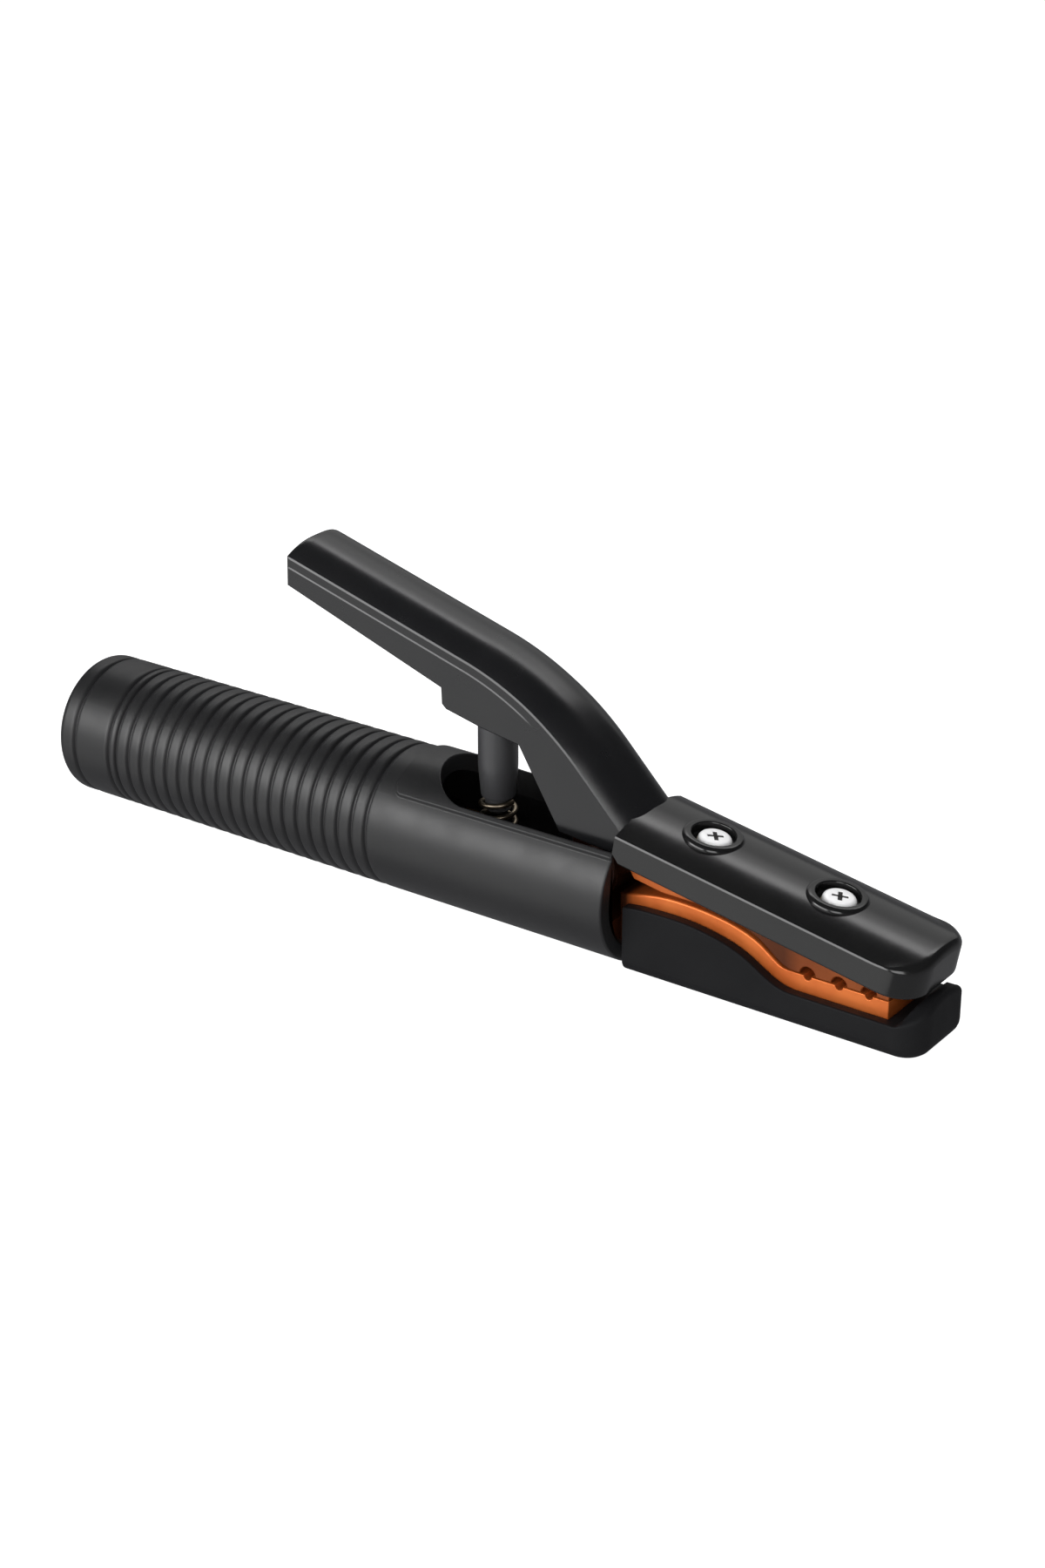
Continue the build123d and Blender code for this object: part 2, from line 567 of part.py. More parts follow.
def lever_crown():
    """The arched top, swept along the side edge."""
    half = LEVER_HALF_WIDTH
    path = Wire([(Plane.XZ * part).edge() for part in lever_edge()])
    start = Plane(origin=path @ 0, x_dir=(0, 1, 0), z_dir=path % 0)
    arch = make_face([
        ThreePointArc((half, 0), (half * 0.72, LEVER_CROWN * 0.69), (half * 0.35, LEVER_CROWN * 0.94)),
        ThreePointArc((half * 0.35, LEVER_CROWN * 0.94), (0, LEVER_CROWN), (-half * 0.35, LEVER_CROWN * 0.94)),
        ThreePointArc((-half * 0.35, LEVER_CROWN * 0.94), (-half * 0.72, LEVER_CROWN * 0.69), (-half, 0)),
        Polyline((-half, 0), (-half, -2.0), (half, -2.0), (half, 0)),
    ])
    section = start * (arch if start.y_dir.Z > 0 else mirror(arch, Plane.XZ))
    return sweep(section, path=path)


def lever_side():
    """Side view of the lever below its upper side edge."""
    toe = lever_edge_points()[-1]
    under = (toe,) + LEVER_UNDER + ((LEVER_REAR[0], LEVER_REAR_UNDER_Z), LEVER_REAR)
    return side_prism(make_face(lever_edge() + [Polyline(*under)]), LEVER_HALF_WIDTH)


def lever_shell():
    shell = lever_side() + lever_crown()
    shell -= block_frame(Pos(-0.2, 0, 0.1) * block_solid(0, 30))
    rear_x, front_x = ARM_TOP[0][0] - 2 * ARM_CLEARANCE, HANDLE_LENGTH
    roof = [(x + ARM_CLEARANCE, z + ARM_CLEARANCE) for x, z in ARM_TOP[1:]]
    cavity = [(rear_x, 0), (rear_x, ARM_TOP[0][1] + 2 * ARM_CLEARANCE)] + roof + [(front_x, 15.3), (front_x, 0)]
    shell -= side_polygon(cavity, ARM_HALF_WIDTH + ARM_CLEARANCE)
    for screw_x in LEVER_SCREW_X:
        shell -= rod_z(M4_R + THREAD_GAP, 40, lever_screw_seat(screw_x) + 9.2, screw_x)
    return shell


def arm_under_z(x):
    (x1, z1), (x0, z0) = ARM_UNDER[-2:]
    return z0 + (z1 - z0) * (x - x0) / (x1 - x0)


def lever_screw_seat(x):
    return arm_under_z(x) + LEVER_SCREW_SEAT


def lever_screws():
    """Screws through the arm from below into the lever moulding's roof."""
    screw = Rot(180, 0, 0) * pan_screw(9.0)
    return Compound([Pos(x, 0, lever_screw_seat(x)) * screw for x in LEVER_SCREW_X])


PARTS = {
    "handle_sleeve": handle_sleeve,
    "handle_screw": handle_screw,
    "cable_socket": cable_socket,
    "cable_ferrule": cable_ferrule,
    "cable_clamp_screws": cable_clamp_screws,
    "socket_screws": socket_screws,
    "lower_jaw": lower_jaw,
    "lower_jaw_insulator": lower_jaw_insulator,
    "lower_insulator_screws": lower_insulator_screws,
    "hinge_pin": hinge_pin,
    "hinge_pin_clips": hinge_pin_clips,
    "hinge_washers": hinge_washers,
    "hinge_bush": hinge_bush,
    "spring_cup": spring_cup,
    "spring": spring,
    "spring_post": spring_post,
    "upper_jaw": upper_jaw,
    "upper_jaw_insulator": upper_jaw_insulator,
    "upper_insulator_screws": upper_insulator_screws,
    "upper_screw_washers": upper_screw_washers,
    "lever_shell": lever_shell,
    "lever_screws": lever_screws,
}

os.makedirs("parts", exist_ok=True)
for node, build in PARTS.items():
    export_step(build(), f"parts/{node}.step")
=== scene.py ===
import bisect
import json
import math

import bmesh
import bpy
import numpy as np
from mathutils import Matrix, Vector


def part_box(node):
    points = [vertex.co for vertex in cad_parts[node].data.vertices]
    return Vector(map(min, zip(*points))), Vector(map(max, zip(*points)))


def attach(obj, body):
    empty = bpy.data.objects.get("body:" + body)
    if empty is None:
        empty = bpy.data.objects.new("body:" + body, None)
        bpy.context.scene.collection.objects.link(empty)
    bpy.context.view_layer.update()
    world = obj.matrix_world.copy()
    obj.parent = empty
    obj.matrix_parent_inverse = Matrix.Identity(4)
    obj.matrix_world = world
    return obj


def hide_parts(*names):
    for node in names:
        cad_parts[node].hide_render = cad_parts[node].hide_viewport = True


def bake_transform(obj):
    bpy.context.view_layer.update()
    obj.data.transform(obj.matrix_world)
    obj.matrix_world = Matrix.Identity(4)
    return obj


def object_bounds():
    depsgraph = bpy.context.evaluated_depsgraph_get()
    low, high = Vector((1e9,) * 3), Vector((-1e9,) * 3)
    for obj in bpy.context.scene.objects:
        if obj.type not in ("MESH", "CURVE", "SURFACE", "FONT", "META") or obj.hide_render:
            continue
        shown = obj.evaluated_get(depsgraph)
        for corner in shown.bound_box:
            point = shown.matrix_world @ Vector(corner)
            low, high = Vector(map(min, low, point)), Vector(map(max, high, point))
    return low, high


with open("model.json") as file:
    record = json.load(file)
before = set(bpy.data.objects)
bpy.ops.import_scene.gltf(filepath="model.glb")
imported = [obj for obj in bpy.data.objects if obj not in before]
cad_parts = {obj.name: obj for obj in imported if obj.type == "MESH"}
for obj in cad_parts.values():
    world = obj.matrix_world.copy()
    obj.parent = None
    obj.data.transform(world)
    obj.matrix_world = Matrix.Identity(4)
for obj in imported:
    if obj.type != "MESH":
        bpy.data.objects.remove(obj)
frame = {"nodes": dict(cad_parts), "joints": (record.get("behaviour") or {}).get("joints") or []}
CAD_BOX = [list(corner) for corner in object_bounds()]
MM = 0.001
WELD, SLIVER = 2e-6, 1e-7  # metres
SQUARE = ((-1, -1), (1, -1), (1, 1), (-1, 1))


def node_box(node):
    """Lowest and highest corner of a CAD node, in millimetres."""
    low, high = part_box(node)
    return [c / MM for c in low], [c / MM for c in high]


HINGE = [c / MM for c in frame["joints"][0]["pos_m"]]
HANDLE_HIGH = node_box("handle_sleeve")[1]
TRAY_LOW, TRAY_HIGH = node_box("lower_jaw_insulator")
LEVER_HIGH = node_box("lever_shell")[1]
POST_LOW, POST_HIGH = node_box("spring_post")
SPRING_LOW, SPRING_HIGH = node_box("spring")
JAW_LOW, JAW_HIGH = node_box("lower_jaw")


# ---- Mesh helpers (all shapes are drawn in millimetres) -------------------------------
class Shape:
    """Collects grids and flat faces, then turns them into one smooth object."""

    def __init__(self):
        self.verts, self.faces = [], []

    def grid(self, rows, closed=False):
        base, count = len(self.verts), len(rows[0])
        for row in rows:
            self.verts += [tuple(p) for p in row]
        for i in range(len(rows) - 1):
            for j in range(count if closed else count - 1):
                a, b = base + i * count + j, base + i * count + (j + 1) % count
                self.faces.append((a, b, b + count, a + count))

    def face(self, points):
        base = len(self.verts)
        self.verts += [tuple(p) for p in points]
        self.faces.append(tuple(range(base, base + len(points))))

    def build(self, name):
        mesh = bpy.data.meshes.new(name)
        mesh.from_pydata([(x * MM, y * MM, z * MM) for x, y, z in self.verts], [], self.faces)
        bm = bmesh.new()
        bm.from_mesh(mesh)
        bmesh.ops.remove_doubles(bm, verts=bm.verts, dist=WELD)
        bmesh.ops.dissolve_degenerate(bm, edges=bm.edges, dist=SLIVER)
        bmesh.ops.recalc_face_normals(bm, faces=bm.faces)
        if bm.calc_volume(signed=True) < 0:
            bmesh.ops.reverse_faces(bm, faces=bm.faces)
        bm.to_mesh(mesh)
        bm.free()
        obj = bpy.data.objects.new(name, mesh)
        bpy.context.scene.collection.objects.link(obj)
        return obj


def bake(obj):
    """Replace the object's mesh by the result of its modifiers."""
    graph = bpy.context.evaluated_depsgraph_get()
    mesh = bpy.data.meshes.new_from_object(obj.evaluated_get(graph))
    obj.modifiers.clear()
    old, obj.data = obj.data, mesh
    bpy.data.meshes.remove(old)


def combine(obj, tool, operation="DIFFERENCE"):
    """Cut the tool out of the object, or add it, and use the tool up."""
    mod = obj.modifiers.new("combine", "BOOLEAN")
    mod.object, mod.operation, mod.solver = tool, operation, "EXACT"
    bake(obj)
    bpy.data.objects.remove(tool)


def smooth(obj, angle=32, weighted=True):
    """Shade smooth up to an angle in degrees, with the large faces deciding the normals."""
    mesh = obj.data
    mesh.shade_smooth()
    mesh.set_sharp_from_angle(angle=math.radians(angle))
    if weighted:
        mod = obj.modifiers.new("normals", "WEIGHTED_NORMAL")
        mod.keep_sharp = True
        mod.weight = 60
        bake(obj)
    return obj


def move(obj, matrix):
    """Transform the object's mesh and hand the object back."""
    obj.data.transform(matrix)
    return obj


def offset_outline(points, inset):
    """Closed XZ outline moved inwards by inset, mitred at its corners."""
    pts = np.array(points, float)
    area = 0.5 * np.sum(pts[:, 0] * np.roll(pts[:, 1], -1) - np.roll(pts[:, 0], -1) * pts[:, 1])
    before = pts - np.roll(pts, 1, axis=0)
    after = np.roll(pts, -1, axis=0) - pts
    before /= np.linalg.norm(before, axis=1)[:, None]
    after /= np.linalg.norm(after, axis=1)[:, None]
    turn = 1.0 if area > 0 else -1.0
    n1 = np.stack([-before[:, 1], before[:, 0]], axis=1) * turn
    n2 = np.stack([-after[:, 1], after[:, 0]], axis=1) * turn
    bisector = n1 + n2
    length = np.maximum(np.sum(bisector * n1, axis=1), 0.35)
    return pts + bisector * (np.asarray(inset, float) / length)[:, None]


def rounded_prism(name, outline, half_width, radius, y=0.0, steps=4):
    """An XZ outline extruded to each side of y, its edges rounded by one radius or one per point."""
    radius = np.zeros(len(outline)) + radius
    rows = []
    for i in range(steps + 1):
        a = math.pi / 2 * i / steps
        pts = offset_outline(outline, radius * (1 - math.sin(a)))
        rows.append((pts, half_width - radius * (1 - math.cos(a))))
    layers = [(pts, -d) for pts, d in rows] + [(pts, d) for pts, d in reversed(rows)]
    shape = Shape()
    grid = [[(p[0], y + d, p[1]) for p, d in zip(pts, depth)] for pts, depth in layers]
    shape.grid(grid, closed=True)
    shape.face(grid[0])
    shape.face(list(reversed(grid[-1])))
    return shape.build(name)


def lathe(name, profile, segments=64):
    """Turn (radius, height) points about Z; ends on the axis close themselves."""
    shape = Shape()
    angles = [2 * math.pi * i / segments for i in range(segments)]
    shape.grid([[(r * math.cos(a), r * math.sin(a), h) for a in angles] for r, h in profile], closed=True)
    return shape.build(name)


def box_tool(low, high):
    shape = Shape()
    (x0, y0, z0), (x1, y1, z1) = low, high
    ring = [(x0, y0), (x1, y0), (x1, y1), (x0, y1)]
    shape.grid([[(x, y, z) for x, y in ring] for z in (z0, z1)], closed=True)
    for z in (z0, z1):
        shape.face([(x, y, z) for x, y in ring])
    return shape.build("tool")


def cylinder_tool(radius, low, high, segments=48):
    return lathe("tool", [(0, low), (radius, low), (radius, high), (0, high)], segments)


def joined(name, objs):
    """One object from several, each already in place."""
    bm = bmesh.new()
    for o in objs:
        bm.from_mesh(o.data)
    mesh = bpy.data.meshes.new(name)
    bm.to_mesh(mesh)
    bm.free()
    for o in objs:
        bpy.data.objects.remove(o)
    obj = bpy.data.objects.new(name, mesh)
    bpy.context.scene.collection.objects.link(obj)
    return obj


def quarter(count, first=0):
    """Angles in radians that divide a right angle into count steps."""
    return [math.pi / 2 * i / count for i in range(first, count + 1)]


def at(x, y, z):
    """A translation given in millimetres."""
    return Matrix.Translation(Vector((x, y, z)) * MM)


def about_z(degrees):
    """A turn about the vertical."""
    return Matrix.Rotation(math.radians(degrees), 4, "Z")


def corner_inward(nose_x, nose_y):
    """Inward directions along a plan outline with front corners rounded about (nose_x, +-nose_y)."""
    def inward(x, y):
        if x <= nose_x:
            return 0.0, -math.copysign(1.0, y)
        if abs(y) <= nose_y:
            return -1.0, 0.0
        dx, dy = nose_x - x, math.copysign(nose_y, y) - y
        length = math.hypot(dx, dy)
        return dx / length, dy / length

    return inward


def arc(cx, cz, radius, start, end, count):
    """Points on an arc, angles in degrees."""
    angles = [math.radians(start + (end - start) * i / count) for i in range(count + 1)]
    return [(cx + radius * math.cos(a), cz + radius * math.sin(a)) for a in angles]


def spline(points, start_slope, end_slope):
    """A smooth height z(x) through the points, with given slopes at its ends."""
    xs, zs = [p[0] for p in points], [p[1] for p in points]
    n = len(xs)
    h = [xs[i + 1] - xs[i] for i in range(n - 1)]
    rows, right = np.zeros((n, n)), np.zeros(n)
    rows[0, 0] = rows[-1, -1] = 1
    right[0], right[-1] = start_slope, end_slope
    for i in range(1, n - 1):
        rows[i, i - 1:i + 2] = h[i], 2 * (h[i - 1] + h[i]), h[i - 1]
        right[i] = 3 * (h[i] * (zs[i] - zs[i - 1]) / h[i - 1] + h[i - 1] * (zs[i + 1] - zs[i]) / h[i])
    slopes = np.linalg.solve(rows, right)

    def height(x):
        i = min(max(bisect.bisect_right(xs, x) - 1, 0), n - 2)
        t = (x - xs[i]) / h[i]
        return ((2 * t**3 - 3 * t**2 + 1) * zs[i] + (t**3 - 2 * t**2 + t) * h[i] * slopes[i]
                + (3 * t**2 - 2 * t**3) * zs[i + 1] + (t**3 - t**2) * h[i] * slopes[i + 1])

    return height


def spaced(start, end, step):
    """Evenly spaced numbers from start to end, about one step apart."""
    count = max(1, round(abs(end - start) / step))
    return [start + (end - start) * i / count for i in range(count + 1)]


def ease(edge0, edge1, value):
    """A smooth step from 0 at edge0 to 1 at edge1."""
    t = min(1.0, max(0.0, (value - edge0) / (edge1 - edge0)))
    return t * t * (3 - 2 * t)


# ---- Materials ------------------------------------------------------------------------
GRAIN_DEPTH = 0.00004  # metres


class Nodes:
    """A small helper to wire a Principled material with procedural detail."""

    def __init__(self, name):
        self.material = bpy.data.materials.new(name)
        self.material.use_nodes = True
        self.tree = self.material.node_tree
        self.shader = self.tree.nodes["Principled BSDF"]
        self.coords = self.tree.nodes.new("ShaderNodeTexCoord").outputs["Object"]

    def new(self, kind, **values):
        node = self.tree.nodes.new(kind)
        for key, value in values.items():
            setattr(node, key, value)
        return node

    def link(self, a, b):
        self.tree.links.new(a, b)

    def noise(self, scale, detail=4.0, roughness=0.55):
        node = self.new("ShaderNodeTexNoise")
        node.inputs["Scale"].default_value = scale
        node.inputs["Detail"].default_value = detail
        node.inputs["Roughness"].default_value = roughness
        self.link(self.coords, node.inputs["Vector"])
        return node.outputs["Fac"]

    def ramp(self, factor, low, high, start=0.35, end=0.65):
        node = self.new("ShaderNodeValToRGB")
        node.color_ramp.elements[0].position, node.color_ramp.elements[1].position = start, end
        node.color_ramp.elements[0].color = (*low, 1)
        node.color_ramp.elements[1].color = (*high, 1)
        self.link(factor, node.inputs["Fac"])
        return node.outputs["Color"]

    def span(self, factor, low, high):
        node = self.new("ShaderNodeMapRange")
        for socket, value in (("From Min", 0.3), ("From Max", 0.7), ("To Min", low), ("To Max", high)):
            node.inputs[socket].default_value = value
        self.link(factor, node.inputs["Value"])
        return node.outputs["Result"]

    def darkened(self, colour, stops):
        """Painted shade: the colour dimmed along X by (x in mm, level kept) stops."""
        split = self.new("ShaderNodeSeparateXYZ")
        self.link(self.coords, split.inputs["Vector"])
        along = self.new("ShaderNodeMapRange")
        start, end = stops[0][0], stops[-1][0]
        along.inputs["From Min"].default_value = start * MM
        along.inputs["From Max"].default_value = end * MM
        self.link(split.outputs["X"], along.inputs["Value"])
        level = self.new("ShaderNodeValToRGB")
        elements = level.color_ramp.elements
        while len(elements) < len(stops):
            elements.new(0.5)
        for element, (x, kept) in zip(elements, stops):
            element.position = (x - start) / (end - start)
            element.color = (kept, kept, kept, 1)
        self.link(along.outputs["Result"], level.inputs["Fac"])
        product = self.new("ShaderNodeMix", data_type="RGBA", blend_type="MULTIPLY")
        product.inputs["Factor"].default_value = 1.0
        self.link(colour, product.inputs["A"])
        self.link(level.outputs["Color"], product.inputs["B"])
        return product.outputs["Result"]

    def bump(self, height, strength):
        """Fine grain in the surface."""
        node = self.new("ShaderNodeBump")
        node.inputs["Strength"].default_value = strength
        node.inputs["Distance"].default_value = GRAIN_DEPTH
        self.link(height, node.inputs["Height"])
        self.link(node.outputs["Normal"], self.shader.inputs["Normal"])

    def set(self, **values):
        for name, value in values.items():
            self.shader.inputs[name.replace("_", " ")].default_value = value


def plastic(name, dark, light, rough, grain, specular=0.5):
    """Moulded plastic: soft colour clouds, uneven sheen and fine grain."""
    m = Nodes(name)
    m.set(Metallic=0.0, IOR=1.54, Specular_IOR_Level=specular)
    m.link(m.ramp(m.noise(45, 5), dark, light), m.shader.inputs["Base Color"])
    m.link(m.span(m.noise(130, 6, 0.6), *rough), m.shader.inputs["Roughness"])
    m.bump(m.noise(2600, 3, 0.6), grain)
    return m.material


def metal(name, dark, light, rough, metallic=1.0, painted_shade=None):
    """Metal with tarnish clouds and a fine uneven surface; painted_shade is (x in mm, level kept) stops of
    painted shade along X.
    """
    m = Nodes(name)
    m.set(Metallic=metallic)
    colour = m.ramp(m.noise(90, 6), dark, light)
    if painted_shade:
        colour = m.darkened(colour, painted_shade)
    m.link(colour, m.shader.inputs["Base Color"])
    m.link(m.span(m.noise(350, 5, 0.6), *rough), m.shader.inputs["Roughness"])
    m.bump(m.noise(900, 4, 0.6), 0.1)
    return m.material


# Dark and light colour, roughness range, grain, and specular level where it isn't the usual one.
PLASTICS = {
    "grip_plastic": ((0.0062, 0.0063, 0.0068), (0.0082, 0.0082, 0.0086), (0.40, 0.48), 0.10),
    "lever_plastic": ((0.0052, 0.0054, 0.0060), (0.0070, 0.0071, 0.0076), (0.22, 0.28), 0.05),
    "jaw_plastic": ((0.0052, 0.0053, 0.0053), (0.0070, 0.0070, 0.0069), (0.15, 0.19), 0.03),
    "tray_plastic": ((0.0070, 0.0071, 0.0078), (0.0086, 0.0087, 0.0094), (0.50, 0.58), 0.12, 0.08),
    "post_plastic": ((0.030, 0.030, 0.032), (0.036, 0.036, 0.038), (0.34, 0.42), 0.06),
    "spring_seat_plastic": ((0.020, 0.019, 0.018), (0.028, 0.026, 0.024), (0.4, 0.5), 0.1),
}
# Painted shade as (x in mm, level kept) stops: darker towards the hinge, where the handle shades the bar;
# the upper bar also has painted shade from its middle on, under the block.
LOWER_PAINTED_SHADE = ((150, 0.05), (170.6, 0.06), (172.6, 0.9), (176, 1.0), (250, 1.0))
UPPER_PAINTED_SHADE = ((150, 0.04), (171.0, 0.05), (172.6, 0.85), (184, 0.75), (192, 0.40), (204, 0.16),
              (213, 0.14), (217, 0.34), (230, 0.40), (250, 0.42))
# Dark and light colour, roughness range, then how metallic and the painted shade stops, where that isn't
# bare metal.
METALS = {
    "copper_alloy": ((0.56, 0.122, 0.022), (0.66, 0.165, 0.034), (0.34, 0.42), 0.55, LOWER_PAINTED_SHADE),
    "copper_with_painted_shade": ((0.54, 0.118, 0.021), (0.64, 0.158, 0.032), (0.34, 0.42), 0.6, UPPER_PAINTED_SHADE),
    "copper_tube": ((0.80, 0.24, 0.08), (0.93, 0.34, 0.14), (0.34, 0.44)),
    "brass": ((0.70, 0.45, 0.16), (0.83, 0.58, 0.24), (0.30, 0.40)),
    "zinc_steel": ((0.52, 0.52, 0.51), (0.64, 0.64, 0.62), (0.34, 0.44)),
    "black_steel": ((0.030, 0.029, 0.028), (0.050, 0.048, 0.046), (0.32, 0.44)),
    "bright_steel": ((0.92, 0.92, 0.92), (0.99, 0.99, 0.99), (0.40, 0.48), 0.12),
    "spring_steel": ((0.16, 0.13, 0.09), (0.24, 0.20, 0.15), (0.30, 0.40)),
}
MATERIALS = {name: plastic(name, *values) for name, values in PLASTICS.items()}
MATERIALS.update({name: metal(name, *values) for name, values in METALS.items()})


def dress(obj, body, slot_name, *nodes, look=None):
    """Give a finished piece the material named by its slot or look, put it on its body and hide the CAD
    nodes it stands for.
    """
    obj.data.materials.clear()
    obj.data.materials.append(MATERIALS[look or slot_name])
    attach(obj, body)
    if nodes:
        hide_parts(*nodes)


# ---- Handle sleeve --------------------------------------------------------------------
HANDLE_R = HANDLE_HIGH[1]
HANDLE_END = HANDLE_HIGH[0]
BORE_R, ENTRY_R, FLANGE = 14.5, 9.0, 6.0
PAD_RISE, PAD_REAR, PAD_HALF, PAD_CORNER = 0.75, 106.5, 13.45, 2.5
SLOT_HALF, SLOT_REAR, RIM = 12.8, 114.0, 0.35
GROOVES = [(5.8, 1.5, 1.5), (17.5, 1.5, 1.2), (20.0, 1.2, 1.5)]  # (centre, reach to the rear, to the front)
GROOVES += [(20.0 + 4.25 * i, 1.5, 1.5) for i in range(1, 20)]
# (share of the reach, depth) from a rib's shoulder to the bottom of the groove
GROOVE_FORM = ((1.0, 0.0), (0.77, 0.02), (0.56, 0.08), (0.41, 0.19), (0.30, 0.36), (0.185, 0.62),
               (0.077, 0.80))
END_ROUND = 2.4
FRONT_ROUND = 0.6
RIM_DROP = 0.45
SCREW_POCKET_X, SCREW_POCKET_R = 143.5, 4.35
SIDE_START, SIDE_END = 45.2, 50.0


def pad_mask(x, y):
    qx, qy = PAD_REAR + PAD_CORNER - x, abs(y) - (PAD_HALF - PAD_CORNER)
    outside = math.hypot(max(qx, 0), max(qy, 0)) + min(max(qx, qy), 0) - PAD_CORNER
    return 1 - ease(-0.22, 0.3, outside)


def surface_r(x, base_r, angle):
    """Outer radius at angle degrees from the top, the raised pad included."""
    if x < PAD_REAR - 1 or math.cos(math.radians(angle)) < 0:
        return base_r
    return base_r + PAD_RISE * pad_mask(x, HANDLE_R * math.sin(math.radians(angle)))


def handle_profile():
    """(x, radius) along the outside from the cable entry to the pad."""
    points = [(FLANGE, ENTRY_R + 0.5), (FLANGE - 0.5, ENTRY_R), (0.6, ENTRY_R)]
    points += [(0.2, ENTRY_R + 0.15), (0, ENTRY_R + 0.6), (0, HANDLE_R - END_ROUND)]
    points += [(END_ROUND * (1 - math.cos(a)), HANDLE_R - END_ROUND * (1 - math.sin(a)))
               for a in quarter(7, 1)]
    for centre, rear, front in GROOVES:
        points += [(centre - share * rear, HANDLE_R - drop) for share, drop in GROOVE_FORM]
        points += [(centre + share * front, HANDLE_R - drop) for share, drop in reversed(GROOVE_FORM)]
    points += [(x, HANDLE_R) for x in spaced(102.6, 105.8, 0.8)]
    points += [(x, HANDLE_R) for x in spaced(106.0, 109.4, 0.17)]
    points += [(x, HANDLE_R) for x in spaced(110.2, SLOT_REAR - RIM - 0.6, 0.9)]
    return points


def column_angles(first):
    """Angles of the surface columns from the slot's edge to the underside, dense at the pad's edge."""
    start = max(SIDE_START, first + 0.4)
    near = [first + (start - first) * (1 - (1 - i / 20) ** 1.7) for i in range(20)]
    dense = [start + (SIDE_END - start) * i / 16 for i in range(16)]
    return near + dense + spaced(SIDE_END, 180, 3.0)


def bore_angles(first):
    """As many angles as the outside has, but even, for the smooth bore."""
    count = len(column_angles(0))
    return [first + (180 - first) * i / (count - 1) for i in range(count)]


def ring(x, radius_at, first, columns=column_angles):
    side = columns(first)
    angles = side + [360 - a for a in reversed(side[:-1])]
    rows = []
    for a in angles:
        r, t = radius_at(a if a <= 180 else 360 - a), math.radians(a)
        rows.append((x, r * math.sin(t), r * math.cos(t)))
    return rows


def slot_stations():
    """(x, y, outward normal) along one side of the slot, from its rear to the front end."""
    centre = SLOT_REAR + SLOT_HALF
    rear = [(centre - SLOT_HALF * math.cos(a), SLOT_HALF * math.sin(a), -math.cos(a), math.sin(a))
            for a in quarter(28)]
    straight = [(x, SLOT_HALF, 0.0, 1.0) for x in spaced(centre, HANDLE_END - FRONT_ROUND, 3.0)[1:]]
    return rear + straight


def handle_sleeve():
    shape = Shape()
    rows = [ring(FLANGE, lambda a: BORE_R, 0.0, bore_angles)]
    rows += [ring(x, lambda a, x=x, r=r: surface_r(x, r, a), 0.0) for x, r in handle_profile()]
    stations = slot_stations()
    front = [(HANDLE_END - FRONT_ROUND + FRONT_ROUND * math.sin(a), FRONT_ROUND * (1 - math.cos(a)))
             for a in quarter(4, 1)]
    outline = [(x, y, nx, ny, 0.0) for x, y, nx, ny in stations]
    outline += [(x, SLOT_HALF, 0.0, 1.0, drop) for x, drop in front]
    strips = []
    for x0, y0, nx, ny, drop in outline:
        x, y = x0 + RIM * nx, y0 + RIM * ny
        top_r = HANDLE_R + PAD_RISE - drop
        first = math.degrees(math.asin(y / top_r))
        rows.append(ring(x, lambda a, x=x, d=drop: surface_r(x, HANDLE_R - d, a), first))
        z_edge = math.sqrt(top_r**2 - y**2)
        z_wall = math.sqrt(top_r**2 - y0**2)
        edge, corner, wall = (x, y, z_edge), (x0, y0, z_wall), (x0, y0, z_wall - RIM_DROP)
        strip = []
        for i in range(6):
            t = i / 5
            strip.append(tuple((1 - t)**2 * e + 2 * t * (1 - t) * c + t * t * w
                               for e, c, w in zip(edge, corner, wall)))
        z_low = math.sqrt(BORE_R**2 - y0**2)
        strips.append(strip + [(x0, y0, z_low)])
    shape.grid(rows)
    for side in (1, -1):
        shape.grid([[(x, y * side, z) for x, y, z in strip] for strip in strips])
    inner = [ring(x, lambda a: BORE_R, 0.0, bore_angles) for x in spaced(FLANGE, SLOT_REAR - 1, 8.0)]
    for x0, y0, *_ in outline:
        inner.append(ring(x0, lambda a: BORE_R, math.degrees(math.asin(y0 / BORE_R)), bore_angles))
    shape.grid(inner)
    shape.grid([rows[-1], inner[-1]])
    for side in (1, -1):
        shape.face([(x, y * side, z) for x, y, z in strips[-1]])
    obj = shape.build("grip_handle")
    combine(obj, move(cylinder_tool(SCREW_POCKET_R, -1.0, 1.2), at(SCREW_POCKET_X, 0, -HANDLE_R)))
    return smooth(obj, 38)


dress(handle_sleeve(), "holder", "grip_plastic", "handle_sleeve")


# ---- Lever shell ----------------------------------------------------------------------
LEVER_HALF = LEVER_HIGH[1]
LEVER_CROWN = 4.2
# The narrow facet between crown and side, as (distance inside the side, height) from top to bottom.
CREASE = ((0.26, 0.56), (0.215, 0.505), (0.19, 0.45), (0.03, 0.09), (0.01, 0.045), (0.0, 0.0))
# The ledge under it, as (height, share of its depth).
LEDGE = ((-1.8, 1.0), (-1.86, 0.94), (-2.16, 0.08), (-2.24, 0.0))
LEDGE_DEPTH, LOWER_EDGE_R = 0.17, 0.5
END_ROUND_DROP = {0.0: 1.15, 0.25: 0.62, 0.6: 0.24, 1.1: 0.05}
LEVER_START, LEVER_REAR_LOW = (73.0, 63.4), 56.5
SLOPE, STRAIGHT, BEND_R, BEND, TOE = 15.6, 54.5, 72.0, 29.9, 21.0
LEVER_UNDER = ((166.7, 11.8), (152.4, 13.2), (141.0, 32.0), (130.5, 33.6), (120.1, 35.9), (118.9, 37.0),
               (118.7, 41.0))
ARM_HALF, ARM_GAP = 5.9, 0.15
ARM_TOP = ((93.5, 56.6), (124.5, 48.0), (138.5, 42.2), (149.5, 33.2), (160.5, 21.3), (167.5, 15.2))
ARM_UNDER = ((153.6, 6.0), (153.2, 12.5), (146.5, 26.0), (139.0, 36.6), (121.5, 42.4), (93.5, 51.6))
